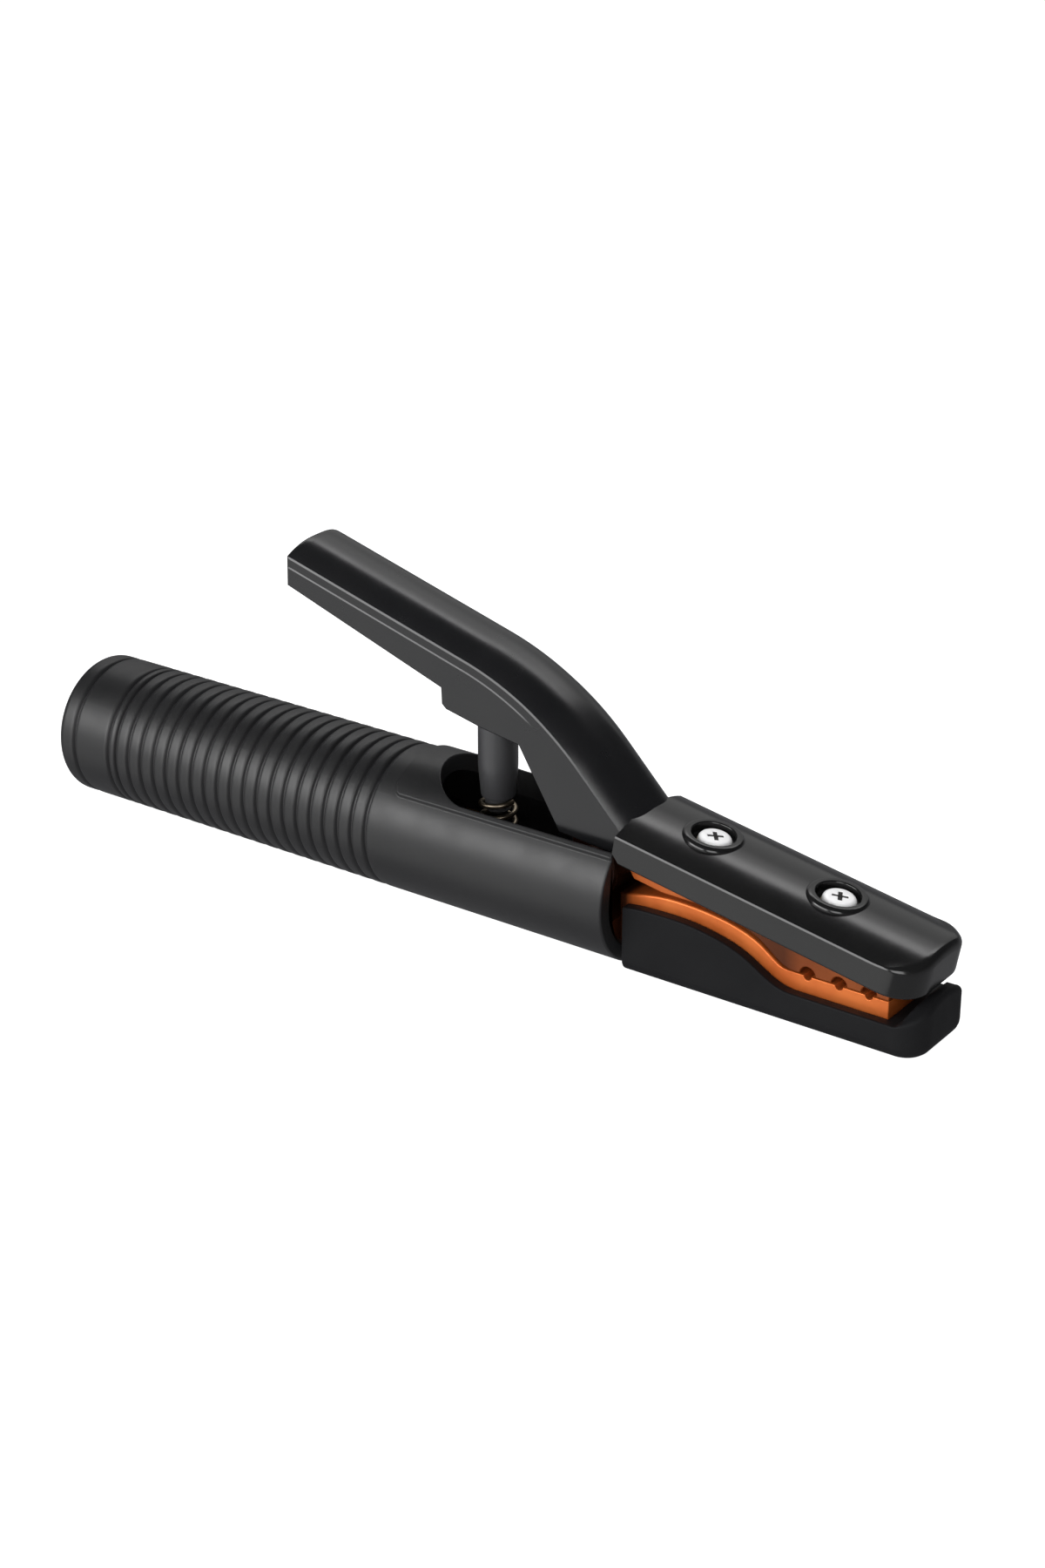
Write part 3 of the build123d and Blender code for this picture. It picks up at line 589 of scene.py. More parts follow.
BLOCK_TILT, BLOCK_REAR, BLOCK_EDGE = 9.9, 170.4, 18.26
BLOCK_LENGTH, BLOCK_HALF, BLOCK_SIDE, BLOCK_CROWN = 78.7, 13.8, 6.6, 2.9
BLOCK_NOSE_R, BLOCK_ROOF, HEEL_R = 8.5, 2.9, 14.1
BOSS_ALONG, BOSS_R, BOSS_HEIGHT, RECESS_R, SEAT = (17.4, 50.5), 7.3, 3.5, 5.1, 0.9
BOSS_ROUND = 1.2
# The flare at a boss's foot, as (radius, drop below the start of the top rounding).
BOSS_FLARE = ((8.6, 0.75), (8.2, 0.6), (7.85, 0.45), (7.55, 0.25), (7.38, 0.08))
# The rounded rim of a boss's recess, as (distance outside its wall, lift above the boss).
RECESS_RIM = ((0, -0.42), (0.07, -0.2), (0.22, -0.06), (0.5, 0.12), (0.5, 2.0))
CHANNEL_HALF, CHANNEL_LENGTH = 9.5, 72.2
BLOCK_FRAME = at(BLOCK_REAR, 0, BLOCK_EDGE) @ Matrix.Rotation(math.radians(BLOCK_TILT), 4, "Y")


def lever_path():
    """(x, z, normal x, normal z, distance) along the lever's upper side edge."""
    x, z = LEVER_START
    points, travelled = [], 0.0
    marks = [0.0, 0.25, 0.6, 1.1] + spaced(2.5, STRAIGHT, 3.2)
    bend_length = math.radians(BEND) * BEND_R
    marks += spaced(STRAIGHT, STRAIGHT + bend_length, 1.5)[1:]
    marks += spaced(STRAIGHT + bend_length, STRAIGHT + bend_length + TOE, 3.0)[1:]
    for mark in marks:
        while travelled < mark - 1e-9:
            step = min(0.05, mark - travelled)
            turned = min(max(travelled + step / 2 - STRAIGHT, 0), bend_length) / BEND_R
            heading = math.radians(SLOPE) + turned
            x, z = x + step * math.cos(heading), z - step * math.sin(heading)
            travelled += step
        turned = min(max(mark - STRAIGHT, 0), bend_length) / BEND_R
        heading = math.radians(SLOPE) + turned
        points.append((x, z, math.sin(heading), math.cos(heading), mark))
    return points


def crown_height(y):
    """Height of the lever's arched top above its side edges."""
    return CREASE[0][1] + (LEVER_CROWN - CREASE[0][1]) * (1 - abs(y / (LEVER_HALF - CREASE[0][0])) ** 3)


def block_arch(y):
    """Height of the block's arched top above its side edges."""
    radius = (BLOCK_HALF**2 + BLOCK_CROWN**2) / (2 * BLOCK_CROWN)
    return math.sqrt(radius**2 - y**2) - (radius - BLOCK_CROWN)


def lever_shell():
    path = lever_path()
    lower = [(x, z) for x, z in LEVER_UNDER] + [(LEVER_START[0], LEVER_REAR_LOW)]
    ledge_end = STRAIGHT + math.radians(BEND) * BEND_R * 0.8

    def layer(y, rise, inset, bury):
        """The closed side view at y: top moved out by rise, rest drawn in by inset, side by bury."""
        top, outline = [], []
        for x, z, nx, nz, s in path:
            up = rise - END_ROUND_DROP.get(round(s, 2), 0.0) * (rise > 0) * rise / LEVER_CROWN
            top.append((x + nx * up, z + nz * up, s))
        flat = offset_outline([(x, z) for x, z, _ in top] + lower, inset)
        for x, z, s in top:
            depth = bury * abs(y) / LEVER_HALF * (1 - ease(ledge_end - 14, ledge_end, s))
            outline.append((max(x, LEVER_START[0] + inset), math.copysign(abs(y) - depth, y), z))
        outline += [(max(px, LEVER_START[0] + inset), y, pz) for px, pz in flat[len(top):]]
        return outline

    half, edge = LEVER_HALF, LOWER_EDGE_R
    arched = [(half - CREASE[0][0]) * math.sin(a) for a in quarter(26)]
    crown = [(y, crown_height(y)) for y in arched] + [(half - inset, rise) for inset, rise in CREASE[1:]]
    positive = []
    for y, rise in crown:
        near = max(0.0, y - (half - edge))
        inset = edge - math.sqrt(max(edge**2 - near**2, 0.0))
        positive.append(layer(y, rise, inset, LEDGE_DEPTH))
    positive += [layer(half, height, edge, LEDGE_DEPTH * share) for height, share in LEDGE]
    shape = Shape()
    mirrored = [[(x, -y, z) for x, y, z in row] for row in reversed(positive[1:])]
    shape.grid(mirrored + positive, closed=True)
    shape.face(positive[-1])
    shape.face(mirrored[0])
    obj = shape.build("lever_handle")
    arch = [(y, block_arch(y) + 0.1) for y in spaced(-BLOCK_HALF, BLOCK_HALF, 1.0)]
    section = arch + [(BLOCK_HALF, -30.0), (-BLOCK_HALF, -30.0)]
    tool = Shape()
    rows = [[(a, y, z) for y, z in section] for a in (-0.2, 60.0)]
    tool.grid(rows, closed=True)
    for row in rows:
        tool.face(row)
    combine(obj, move(tool.build("tool"), BLOCK_FRAME))
    rear = ARM_TOP[0][0] - 2 * ARM_GAP
    roof = [(x + ARM_GAP, z + ARM_GAP) for x, z in ARM_TOP[1:]]
    cavity = [(rear, 0), (rear, ARM_TOP[0][1] + 2 * ARM_GAP)] + roof + [(HANDLE_END, 15.3), (HANDLE_END, 0)]
    combine(obj, rounded_prism("tool", cavity, ARM_HALF + ARM_GAP, 0.0, steps=1))
    return smooth(obj, 30)


dress(lever_shell(), "lever", "lever_plastic", "lever_shell")


# ---- Upper jaw insulator (the block) --------------------------------------------------
# The narrow facet along the block's edges, as (inset, drop) from the side up to the arch.
EDGE_FACET = ((0.0, 0.56), (0.01, 0.51), (0.03, 0.46), (0.19, 0.10), (0.22, 0.05), (0.27, 0.015),
              (0.34, 0.0))
BOTTOM_EDGE = ((0.45, 0.0), (0.2, 0.08), (0.05, 0.25), (0.0, 0.55))
FLAT_SIDE_Z = -2.6
EDGE_INSET, NOSE_ROUNDING = EDGE_FACET[-1][0], 2.2


def block_outline():
    """(along, y, edge rounding, spine position) around the block from rear left to rear right."""
    nose_x, nose_y = BLOCK_LENGTH - BLOCK_NOSE_R, BLOCK_HALF - BLOCK_NOSE_R
    points = [(a, BLOCK_HALF) for a in spaced(0.0, nose_x - 2, 2.4)]
    points += [(nose_x + BLOCK_NOSE_R * math.sin(t), nose_y + BLOCK_NOSE_R * math.cos(t))
               for t in quarter(18)]
    points += [(BLOCK_LENGTH, y) for y in spaced(nose_y, 0, 1.3)[1:]]
    outline = []
    for a, y in points:
        rounding = EDGE_INSET + (NOSE_ROUNDING - EDGE_INSET) * ease(nose_x - 3, nose_x + 6.5, a)
        outline.append((a, y, rounding, min(a, nose_x + 0.5)))
    return outline


def block_body():
    half = block_outline()
    loop = half + [(a, -y, r, s) for a, y, r, s in reversed(half[:-1])]
    inward = corner_inward(BLOCK_LENGTH - BLOCK_NOSE_R, BLOCK_HALF - BLOCK_NOSE_R)
    rings = []
    for inset, lift in BOTTOM_EDGE:
        rings.append([(a + inward(a, y)[0] * inset, y + inward(a, y)[1] * inset, -BLOCK_SIDE + lift)
                      for a, y, _, _ in loop])
    rings.append([(a, y, FLAT_SIDE_Z) for a, y, _, _ in loop])
    for i, (facet_inset, facet_drop) in enumerate(EDGE_FACET):
        t = math.pi / 2 * i / (len(EDGE_FACET) - 1)
        row = []
        for a, y, r, _ in loop:
            nose = (r - EDGE_INSET) / (NOSE_ROUNDING - EDGE_INSET)
            inset = facet_inset + (r * (1 - math.cos(t)) - facet_inset) * nose
            drop = facet_drop + (r * (1 - math.sin(t)) - facet_drop) * nose
            nx, ny = inward(a, y)
            row.append((a + nx * inset, y + ny * inset, block_arch(y + ny * r) - drop))
        rings.append(row)
    columns = 14
    for i in range(1, columns + 1):
        f = i / columns
        row = []
        for a, y, r, spine in loop:
            nx, ny = inward(a, y)
            sa, sy = a + nx * r, y + ny * r
            pa, py = sa + (min(sa, spine) - sa) * f, sy * (1 - f)
            row.append((pa, py, block_arch(py)))
        rings.append(row)
    shape = Shape()
    shape.grid(rings)
    shape.face(rings[0])
    left = [r[0] for r in rings]
    right = [r[-1] for r in rings[:-1]]
    shape.face(left + list(reversed(right)))
    return shape.build("jaw_cover")


def boss(along):
    """A round boss with a flared foot."""
    foot = BOSS_HEIGHT - BOSS_ROUND
    profile = [(0, -2.0), (BOSS_FLARE[0][0], -2.0)]
    profile += [(r, foot - drop) for r, drop in BOSS_FLARE]
    profile += [(BOSS_R - BOSS_ROUND * (1 - math.cos(t)), foot + BOSS_ROUND * math.sin(t))
                for t in quarter(8)]
    profile += [(0, BOSS_HEIGHT)]
    return move(lathe("tool", profile, 72), at(along, 0, 0))


def recess(along):
    """The screw's recess, its rim rounded outwards."""
    profile = [(0, SEAT), (RECESS_R - 0.3, SEAT), (RECESS_R, SEAT + 0.3)]
    profile += [(RECESS_R + out, BOSS_HEIGHT + lift) for out, lift in RECESS_RIM]
    profile += [(0, BOSS_HEIGHT + RECESS_RIM[-1][1])]
    return move(lathe("tool", profile, 72), at(along, 0, 0))


def jaw_cover():
    obj = block_body()
    for along in BOSS_ALONG:
        combine(obj, boss(along), "UNION")
    for along in BOSS_ALONG:
        combine(obj, recess(along))
    combine(obj, box_tool((-1, -CHANNEL_HALF, -20), (CHANNEL_LENGTH, CHANNEL_HALF, -BLOCK_ROOF)))
    move(obj, BLOCK_FRAME)
    heel = [(HINGE[0] + x, HINGE[2] + z) for x, z in arc(0, 0, HEEL_R, 0, 360, 96)[:-1]]
    combine(obj, rounded_prism("tool", heel, BLOCK_HALF + 1, 0.0, steps=1))
    return smooth(obj, 32)


dress(jaw_cover(), "lever", "jaw_plastic", "upper_jaw_insulator")


# ---- Pan-head screws ------------------------------------------------------------------
HEAD_R, HEAD_H, SHANK_R = 3.95, 1.9, 2.0
# (height from the top of the head, half length, half width) of the cross recess and of its dark insert,
# which is painted shade in the recess
CROSS_CUT = ((-1.3, 0.95, 0.40), (-0.1, 1.98, 0.52), (0.05, 2.1, 0.64))
CROSS_SHADE_INSERT = ((-1.24, 0.9, 0.36), (-0.22, 1.86, 0.46))
TRAY_SCREW_X, TRAY_SEAT = (191.5, 223.5), 2.4
# The cover screws stand ahead of their bosses' middles, with their heads just above the recess floor.
SCREW_AHEAD, HEAD_LIFT = 0.5, 0.4


def cross_prisms(stations):
    """The two crossing arms of a screw's drive."""
    arms = []
    for turn in (0, 90):
        arm = Shape()
        rows = [[(x * half_len, y * half_wid, HEAD_H + lift) for x, y in SQUARE]
                for lift, half_len, half_wid in stations]
        arm.grid(rows, closed=True)
        arm.face(rows[0])
        arm.face(rows[-1])
        arms.append(move(arm.build("arm"), about_z(turn)))
    return arms


def recess_shade_insert():
    """Dark insert at the bottom of a cross recess: painted shade standing in for the recess's shadow."""
    return joined("drive", cross_prisms(CROSS_SHADE_INSERT))


def pan_screw(length):
    profile = [(0, -length), (SHANK_R - 0.4, -length), (SHANK_R, -length + 0.4), (SHANK_R, 0)]
    profile += [(HEAD_R - 0.2, 0), (HEAD_R, 0.15), (HEAD_R, 0.7)]
    profile += [(2.75 + 1.2 * math.cos(t), 0.7 + 1.12 * math.sin(t)) for t in quarter(8, 1)[:-1]]
    profile += [(2.75, 1.82), (1.6, 1.88), (0, HEAD_H)]
    screw = lathe("screw", profile, 64)
    for tool in cross_prisms(CROSS_CUT):
        combine(screw, tool)
    return screw


UPPER_SCREWS = [BLOCK_FRAME @ at(along + SCREW_AHEAD, 0, SEAT + HEAD_LIFT) @ about_z(degrees)
                for along, degrees in zip(BOSS_ALONG, (40, 28))]
LOWER_SCREWS = [at(x, 0, TRAY_LOW[2] + TRAY_SEAT) @ Matrix.Rotation(math.pi, 4, "X") @ about_z(degrees)
                for x, degrees in zip(TRAY_SCREW_X, (15, 60))]


def screws(name, places, length):
    return smooth(joined(name, [move(pan_screw(length), place) for place in places]), 35)


def recess_shade_inserts(name, places):
    return smooth(joined(name, [move(recess_shade_insert(), place) for place in places]), 35)


dress(screws("cover_screws", UPPER_SCREWS, 8.2), "lever", "bright_steel", "upper_insulator_screws")
dress(screws("tray_screws", LOWER_SCREWS, 7.2), "holder", "bright_steel", "lower_insulator_screws")
# The dark inserts in the cross recesses are painted shade.
dress(recess_shade_inserts("cover_screw_recess_shade", UPPER_SCREWS), "lever", "black_steel")
dress(recess_shade_inserts("tray_screw_recess_shade", LOWER_SCREWS), "holder", "black_steel")


# ---- Lower jaw insulator (the tray) ---------------------------------------------------
TRAY_HALF, TRAY_BOTTOM = TRAY_HIGH[1], TRAY_LOW[2]
TRAY_FRONT, TRAY_REAR = TRAY_HIGH[0], TRAY_LOW[0]
TRAY_NOSE_R, TRAY_EDGE_R, TRAY_FLOOR, TRAY_WELL = 6.5, 3.5, -10.2, 9.5
RIM_Z, LIP_START, LIP_TOP, LIP_SIDE, WELL_FRONT = -8.2, 242.4, -3.0, -9.7, 239.8
RIM_R, LIP_R, WELL_EDGE_DROP = 0.45, 1.5, 0.12
WALL_TOP = ((171.7, 0.2), (179.5, 0.9), (188.5, 0.8), (196.5, -0.4), (205.0, -3.4), (210.5, -6.6),
            (216.5, RIM_Z))
wall_height = spline(WALL_TOP, 0.2, 0.0)


def tray_top(x, y):
    """Height of the tray's rim, its ramp and the arched lip."""
    if x <= WALL_TOP[-1][0]:
        return wall_height(x)
    side = TRAY_HALF + 1
    rise = LIP_TOP - LIP_SIDE
    radius = (side**2 + rise**2) / (2 * rise)
    arch = LIP_TOP - radius + math.sqrt(max(radius**2 - y**2, 0))
    ramp = RIM_Z + (LIP_TOP - RIM_Z) * ease(LIP_START, LIP_START + 4.0, x)
    if x < WELL_FRONT - 0.5:
        return RIM_Z
    return min(ramp, arch)


def tray():
    nose_x, nose_y = TRAY_FRONT - TRAY_NOSE_R, TRAY_HALF - TRAY_NOSE_R
    stations = [(x, TRAY_HALF) for x in spaced(TRAY_REAR, nose_x - 0.5, 1.6)]
    stations += [(nose_x + TRAY_NOSE_R * math.sin(t), nose_y + TRAY_NOSE_R * math.cos(t))
                 for t in quarter(16)]
    stations += [(TRAY_FRONT, y) for y in spaced(nose_y, 0, 0.95)[1:]]
    loop = stations + [(x, -y) for x, y in reversed(stations[:-1])]
    inward = corner_inward(nose_x, nose_y)

    def inner(x, y):
        """The matching point on the well's edge."""
        if x <= WELL_FRONT - 1:
            return x, math.copysign(TRAY_WELL, y)
        if abs(y) > nose_y:
            return min(x, WELL_FRONT), math.copysign(TRAY_WELL, y)
        return WELL_FRONT, y * TRAY_WELL / nose_y

    rings = []
    for t in quarter(6):
        inset, lift = TRAY_EDGE_R * (1 - math.sin(t)), TRAY_EDGE_R * (1 - math.cos(t))
        rings.append([(x + inward(x, y)[0] * inset, y + inward(x, y)[1] * inset, TRAY_BOTTOM + lift)
                      for x, y in loop])
    for t in quarter(4):
        row = []
        for x, y in loop:
            r = RIM_R + (LIP_R - RIM_R) * ease(WELL_FRONT + 2, TRAY_FRONT - 2, x)
            nx, ny = inward(x, y)
            inset, drop = r * (1 - math.cos(t)), r * (1 - math.sin(t))
            row.append((x + nx * inset, y + ny * inset, tray_top(x + nx * r, y + ny * r) - drop))
        rings.append(row)
    start, columns = rings[-1], 10
    for i in range(1, columns + 1):
        f = i / columns
        row = []
        for (x0, y0, _), (x, y) in zip(start, loop):
            ix, iy = inner(x, y)
            px, py = x0 + (ix - x0) * f, y0 + (iy - y0) * f
            drop = WELL_EDGE_DROP if i == columns else 0.0
            row.append((px, py, tray_top(px, py) - drop))
        rings.append(row)
    rings.append([(x, y, TRAY_FLOOR) for x, y, _ in rings[-1]])
    shape = Shape()
    shape.grid(rings)
    shape.face(rings[0])
    shape.face(rings[-1])
    shape.face([r[0] for r in rings] + [r[-1] for r in reversed(rings)])
    obj = shape.build("tray")
    profile = [(0, -1), (4.9, -1), (4.9, 0), (4.6, 0.3), (4.55, TRAY_SEAT)]
    profile += [(2.2, TRAY_SEAT), (2.2, 9), (0, 9)]
    for x in TRAY_SCREW_X:
        combine(obj, move(lathe("tool", profile, 56), at(x, 0, TRAY_BOTTOM)))
    return smooth(obj, 32)


dress(tray(), "holder", "tray_plastic", "lower_jaw_insulator")


# ---- Jaws -----------------------------------------------------------------------------
JAW_HALF, JAW_TIP, JAW_BOTTOM, JAW_FACE, JAW_GAP = 9.3, JAW_HIGH[0], -10.1, -4.2, 0.2
TEETH = (219.0, 227.0, 234.5)
HUMP = ((171.5, 2.4), (180.5, 4.1), (189.5, 4.1), (201.0, 2.3), (207.5, -0.6), (214.0, JAW_FACE))
JAW_ROOT = 169.0
SLAB_TOP, SLAB_REAR, BODY_R = -4.0, JAW_LOW[0], 14.3
LUG_R, LUG_HALF, LUG_Y, BARREL_R, BUSH_R = 5.6, 1.9, 8.5, 6.5, 4.2
LONG_GROOVE_X, LOWER_GROOVE_R, UPPER_GROOVE_R, GROOVE_FINER = 215.0, 1.0, 2.0, 0.03
SPRING_X, SPRING_WELL_R = (POST_LOW[0] + POST_HIGH[0]) / 2, 6.1


def toothed(face_z, radius, upwards):
    """The gripping face from rear to tip, with its half-round grooves."""
    sign = 1 if upwards else -1
    turns = [math.pi * i / 8 for i in range(9)]
    return [(centre - radius * math.cos(t), face_z + sign * radius * math.sin(t))
            for centre in TEETH for t in turns]


def long_groove(obj, radius, face_z, segments):
    """Cut the electrode's groove along the gripping face."""
    place = at(LONG_GROOVE_X, 0, face_z) @ Matrix.Rotation(math.pi / 2, 4, "Y")
    combine(obj, move(cylinder_tool(radius, 0, 30, segments), place))


def lower_jaw():
    crest = spline(HUMP, 0.25, 0.0)
    top = [(x, crest(x)) for x in spaced(HUMP[0][0], HUMP[-1][0], 1.2)]
    outline = top + toothed(JAW_FACE, LOWER_GROOVE_R, False) + [(JAW_TIP, JAW_FACE)]
    outline += [(JAW_TIP, JAW_BOTTOM), (JAW_ROOT, JAW_BOTTOM), (JAW_ROOT, 2.0)]
    obj = rounded_prism("lower_jaw_bar", outline, JAW_HALF, [0.6 if x < 212 else 0.25 for x, z in outline])
    long_groove(obj, LOWER_GROOVE_R, JAW_FACE, 32)
    shape = Shape()
    section = [(-BODY_R * math.cos(math.radians(a)), -BODY_R * math.sin(math.radians(a)))
               for a in spaced(16.25, 163.75, 4)]
    rows = [[(x, y, z) for y, z in section] for x in (SLAB_REAR, HANDLE_END - 0.3)]
    shape.grid(rows, closed=True)
    for row in rows:
        shape.face(row)
    slab = shape.build("slab")
    combine(slab, move(cylinder_tool(SPRING_WELL_R, -12.2, 0), at(SPRING_X, 0, 0)))
    combine(obj, slab, "UNION")
    hx, hz = HINGE[0], HINGE[2]
    lug_outline = [(hx - LUG_R, SLAB_TOP - 1), (hx + LUG_R, SLAB_TOP - 1)] + arc(hx, hz, LUG_R, 0, 180, 24)
    for side in (1, -1):
        combine(obj, rounded_prism("lug", lug_outline, LUG_HALF, 0.3, y=side * LUG_Y), "UNION")
    return smooth(obj, 34)


def block_line(x, below):
    """Height at x of a line that runs below the block's upper edge."""
    tilt = math.radians(BLOCK_TILT)
    return BLOCK_EDGE - (x - BLOCK_REAR) * math.tan(tilt) - below / math.cos(tilt)


def upper_jaw():
    rear, face = BLOCK_REAR + 0.5, JAW_FACE + JAW_GAP
    belly = [(rear + 9.1, 5.3)] + [(x, z + 1.0) for x, z in HUMP[2:-1]] + [(HUMP[-1][0] + 1, face)]
    curve = spline(belly, -0.05, 0.0)
    under = [(x, curve(x)) for x in spaced(belly[0][0], belly[-1][0], 1.2)]
    under += toothed(face, UPPER_GROOVE_R, True)
    top = [(JAW_TIP, block_line(JAW_TIP, BLOCK_ROOF + 0.1)), (rear, block_line(rear, BLOCK_ROOF + 0.1))]
    outline = under + [(JAW_TIP, face)] + top + [(rear, 9.4), (rear + 1.8, 6.6)]
    obj = rounded_prism("upper_jaw_bar", outline, JAW_HALF, 0.3)
    front = BLOCK_REAR + 1.6
    neck = ((front, 14.9), (front, 7.4), (HINGE[0] + 7.4, 4.6), (HINGE[0], HINGE[2]))
    combine(obj, rounded_prism("arm", ARM_TOP + neck + ARM_UNDER, ARM_HALF, 0.3), "UNION")
    barrel = arc(HINGE[0], HINGE[2], BARREL_R, 0, 360, 48)[:-1]
    combine(obj, rounded_prism("barrel", barrel, ARM_HALF + 0.03, 0.25), "UNION")
    hole = arc(HINGE[0], HINGE[2], BUSH_R, 0, 360, 48)[:-1]
    combine(obj, rounded_prism("hole", hole, ARM_HALF + 1, 0.0, steps=1))
    long_groove(obj, UPPER_GROOVE_R - GROOVE_FINER, face, 40)
    return smooth(obj, 34)


# The jaws' copper carries painted shade: the lower towards the hinge, the upper also under the block.
dress(lower_jaw(), "holder", "copper_alloy", "lower_jaw")
dress(upper_jaw(), "lever", "copper_alloy", "upper_jaw", look="copper_with_painted_shade")


# ---- Plunger and spring ---------------------------------------------------------------
def plunger():
    """The post: a spigot inside the spring, a tapered nose, a shaft and a tenon in the lever."""
    profile = [(0, POST_LOW[2]), (2.4, POST_LOW[2]), (3.2, POST_LOW[2] + 0.8), (3.2, 12.4), (3.85, 12.4)]
    profile += [(4.05, 12.55), (4.15, 12.9), (4.72, 19.2), (4.79, 20.2), (4.8, 21.4), (4.8, 41.5)]
    profile += [(3.0, 41.5), (3.0, POST_HIGH[2]), (0, POST_HIGH[2])]
    return smooth(move(lathe("plunger", profile, 72), at(SPRING_X, 0, 0)), 35)


def spring():
    radius, wire, turns = 4.05, 0.7, 7
    low, high = SPRING_LOW[2] + wire, SPRING_HIGH[2] - wire
    up = Vector((0, 0, 1))
    shape, rows = Shape(), []
    around, total = 12, 40 * turns
    for i in range(total + 1):
        t = i / total
        a = 2 * math.pi * turns * t
        centre = Vector((SPRING_X + radius * math.cos(a), radius * math.sin(a), low + (high - low) * t))
        out = Vector((math.cos(a), math.sin(a), 0))
        rows.append([centre + (out * math.cos(b) + up * math.sin(b)) * wire
                     for b in [2 * math.pi * k / around for k in range(around)]])
    shape.grid(rows, closed=True)
    shape.face(rows[0])
    shape.face(list(reversed(rows[-1])))
    return smooth(shape.build("return_spring"), 40, weighted=False)


dress(plunger(), "lever", "post_plastic", "spring_post")
coil = spring()
coil.data.materials.append(MATERIALS["spring_steel"])
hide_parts("spring")
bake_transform(coil)

# ---- Inner parts keep their shapes and only take a finish -----------------------------
KEPT = {
    "handle_screw": "zinc_steel", "hinge_pin": "zinc_steel", "hinge_washers": "zinc_steel",
    "lever_screws": "zinc_steel", "cable_socket": "brass", "hinge_bush": "brass",
    "cable_ferrule": "copper_tube", "cable_clamp_screws": "black_steel", "socket_screws": "black_steel",
    "hinge_pin_clips": "spring_steel", "upper_screw_washers": "spring_steel",
    "spring_cup": "spring_seat_plastic",
}
for node, slot_name in KEPT.items():
    kept = frame["nodes"][node]
    kept.data.materials.clear()
    kept.data.materials.append(MATERIALS[slot_name])

# ---- Studio ---------------------------------------------------------------------------
CENTRE = Vector((0.125, 0.0, 0.015))
FLOOR_HALF, FLOOR_GAP = 6, 0.00003  # metres


def emitter_material(name, strength, falloff):
    """Even light, or light that varies from bottom to top by (position, level) stops."""
    m = bpy.data.materials.new(name)
    m.use_nodes = True
    tree = m.node_tree
    tree.nodes.clear()
    out = tree.nodes.new("ShaderNodeOutputMaterial")
    emission = tree.nodes.new("ShaderNodeEmission")
    emission.inputs["Strength"].default_value = strength
    tree.links.new(emission.outputs["Emission"], out.inputs["Surface"])
    if falloff:
        coords = tree.nodes.new("ShaderNodeTexCoord")
        split = tree.nodes.new("ShaderNodeSeparateXYZ")
        ramp = tree.nodes.new("ShaderNodeValToRGB")
        tree.links.new(coords.outputs["Generated"], split.inputs["Vector"])
        tree.links.new(split.outputs["Z"], ramp.inputs["Fac"])
        elements = ramp.color_ramp.elements
        while len(elements) < len(falloff):
            elements.new(0.5)
        for element, (position, level) in zip(elements, falloff):
            element.position = position
            element.color = (level, level, level, 1)
        tree.links.new(ramp.outputs["Color"], emission.inputs["Color"])
    return m


def panel(name, direction, distance, width, height, strength, falloff=None, glossy=True):
    """A soft rectangular light facing the object; width and height in degrees."""
    towards = Vector(direction).normalized()
    right = towards.cross(Vector((0, 0, 1))).normalized()
    up = right.cross(towards)
    w, h = distance * math.tan(math.radians(width / 2)), distance * math.tan(math.radians(height / 2))
    centre = CENTRE + towards * distance
    corners = [centre + right * w * x + up * h * y for x, y in SQUARE]
    mesh = bpy.data.meshes.new(name)
    mesh.from_pydata(corners, [], [(0, 1, 2, 3)])
    mesh.materials.append(emitter_material(name, strength, falloff))
    obj = bpy.data.objects.new(name, mesh)
    bpy.context.scene.collection.objects.link(obj)
    obj.visible_camera = False
    obj.visible_glossy = glossy


panel("key", (-0.352, -0.871, 0.325), 0.9, 58, 28, 5.2)
panel("spark", (-0.554, -0.735, 0.40), 0.85, 12, 9, 9)
panel("low", (-0.31, -0.87, -0.36), 0.9, 64, 36, 0.95)
panel("fill", (0.55, -0.75, 0.30), 1.1, 30, 30, 4)
panel("rim", (-0.37, 0.793, 0.547), 1.2, 62, 48, 3.4,
      ((0.0, 0.13), (0.54, 0.15), (0.64, 0.26), (0.76, 0.36), (0.85, 0.75), (0.93, 1.0)))
panel("top", (0.0, 0.05, 1.0), 1.3, 90, 90, 0.9, glossy=False)

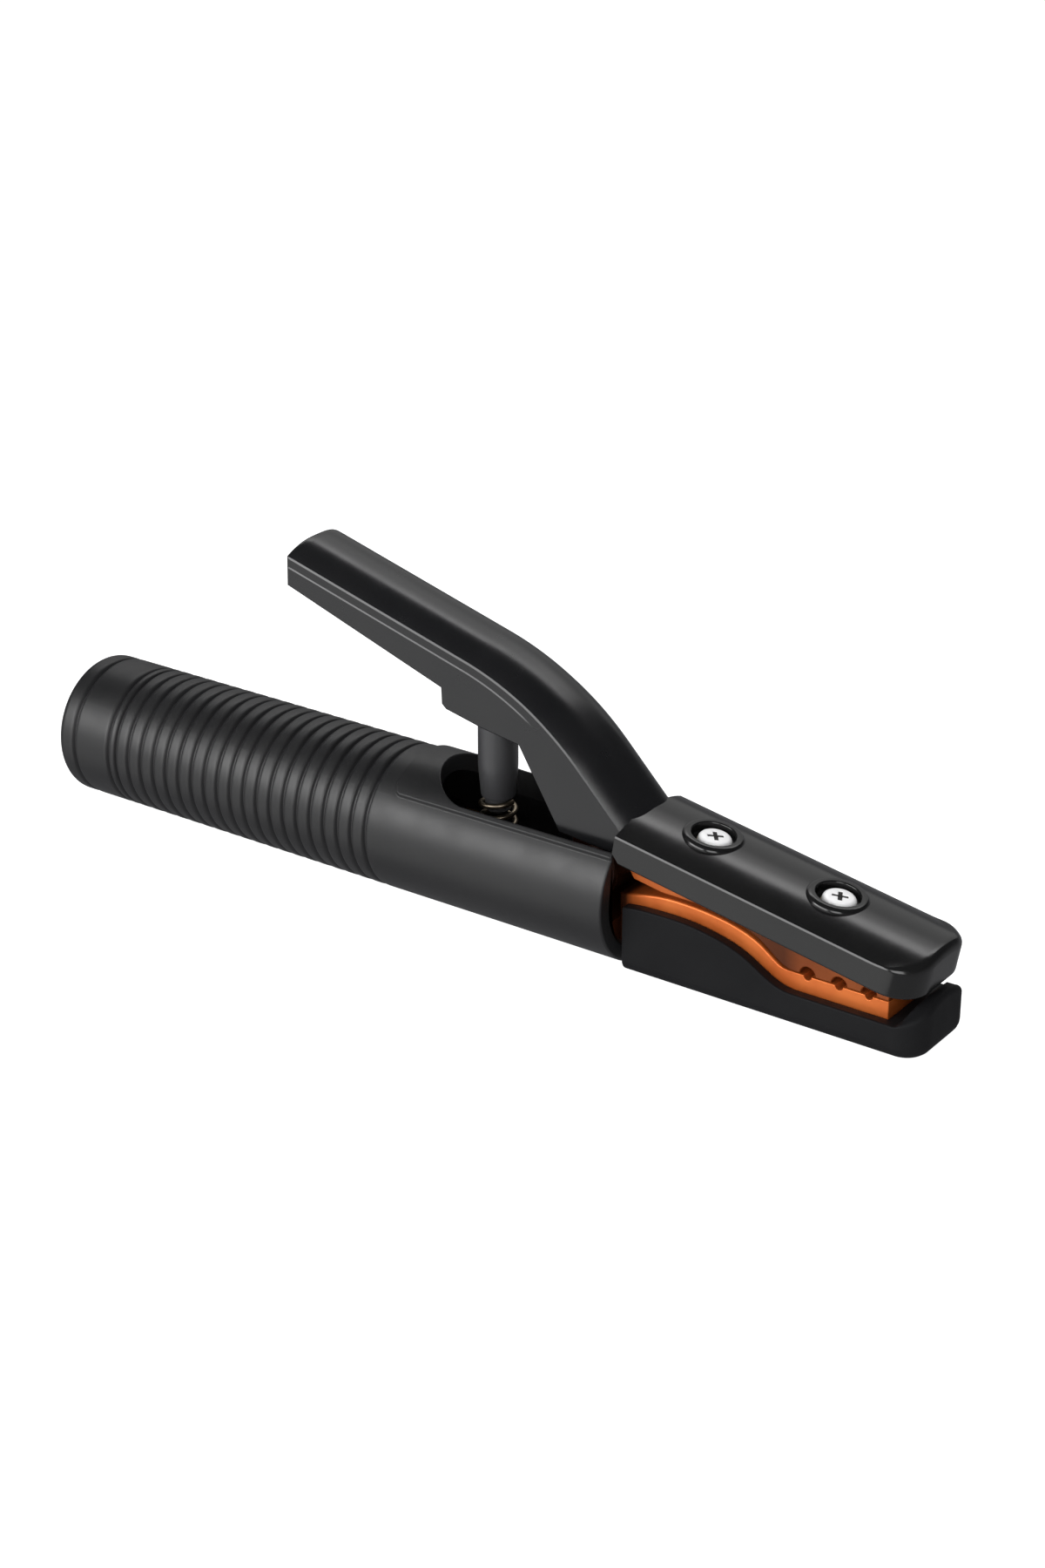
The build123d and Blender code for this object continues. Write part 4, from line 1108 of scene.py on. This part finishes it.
floor_mesh = bpy.data.meshes.new("floor")
floor_mesh.from_pydata([(x * FLOOR_HALF, y * FLOOR_HALF, 0) for x, y in SQUARE], [], [(0, 1, 2, 3)])
studio_floor = bpy.data.objects.new("floor", floor_mesh)
bpy.context.scene.collection.objects.link(studio_floor)
studio_floor.location.z = CAD_BOX[0][2] - FLOOR_GAP
floor_look = Nodes("floor")
floor_look.set(Roughness=1.0, IOR=1.0, Emission_Strength=0.95, Emission_Color=(1.0, 1.0, 1.0, 1.0))
floor_look.link(floor_look.ramp(floor_look.noise(3, 2), (0.38, 0.38, 0.38), (0.40, 0.40, 0.40)),
                floor_look.shader.inputs["Base Color"])
floor_mesh.materials.append(floor_look.material)
studio_floor.visible_glossy = False

# White behind the object; everything else sees a dim room, lighter below than above.
world = bpy.data.worlds.new("studio")
bpy.context.scene.world = world
world.use_nodes = True
room = world.node_tree
background = room.nodes["Background"]
light_path = room.nodes.new("ShaderNodeLightPath")
mix = room.nodes.new("ShaderNodeMix")
mix.data_type = "RGBA"
sky = room.nodes.new("ShaderNodeValToRGB")
for element, position, colour in zip(sky.color_ramp.elements, (0.42, 0.62),
                                     ((0.24, 0.24, 0.25, 1), (0.06, 0.06, 0.065, 1))):
    element.position, element.color = position, colour
sky_coords = room.nodes.new("ShaderNodeTexCoord")
sky_split = room.nodes.new("ShaderNodeSeparateXYZ")
sky_range = room.nodes.new("ShaderNodeMapRange")
sky_range.inputs["From Min"].default_value = -1.0
mix.inputs["B"].default_value = (1.3, 1.3, 1.3, 1)
for output, socket in ((sky_coords.outputs["Generated"], sky_split.inputs["Vector"]),
                       (sky_split.outputs["Z"], sky_range.inputs["Value"]),
                       (sky_range.outputs["Result"], sky.inputs["Fac"]),
                       (sky.outputs["Color"], mix.inputs["A"]),
                       (light_path.outputs["Is Camera Ray"], mix.inputs["Factor"]),
                       (mix.outputs["Result"], background.inputs["Color"])):
    room.links.new(output, socket)

camera = bpy.data.cameras.new("camera")
camera.lens, camera.sensor_width, camera.sensor_fit = 67.316, 36, "AUTO"
camera.clip_start, camera.clip_end = 0.01, 50
viewer = bpy.data.objects.new("camera", camera)
bpy.context.scene.collection.objects.link(viewer)
axes = Matrix(((0.8124, -0.239, 0.5318), (0.5831, 0.333, -0.7410), (0.0, 0.912, 0.4099)))
viewer.rotation_mode = "QUATERNION"
viewer.rotation_quaternion = axes.to_quaternion()
viewer.location = (0.5022, -0.5118, 0.3001)
bpy.context.scene.camera = viewer
bpy.context.scene.view_settings.view_transform = "Standard"
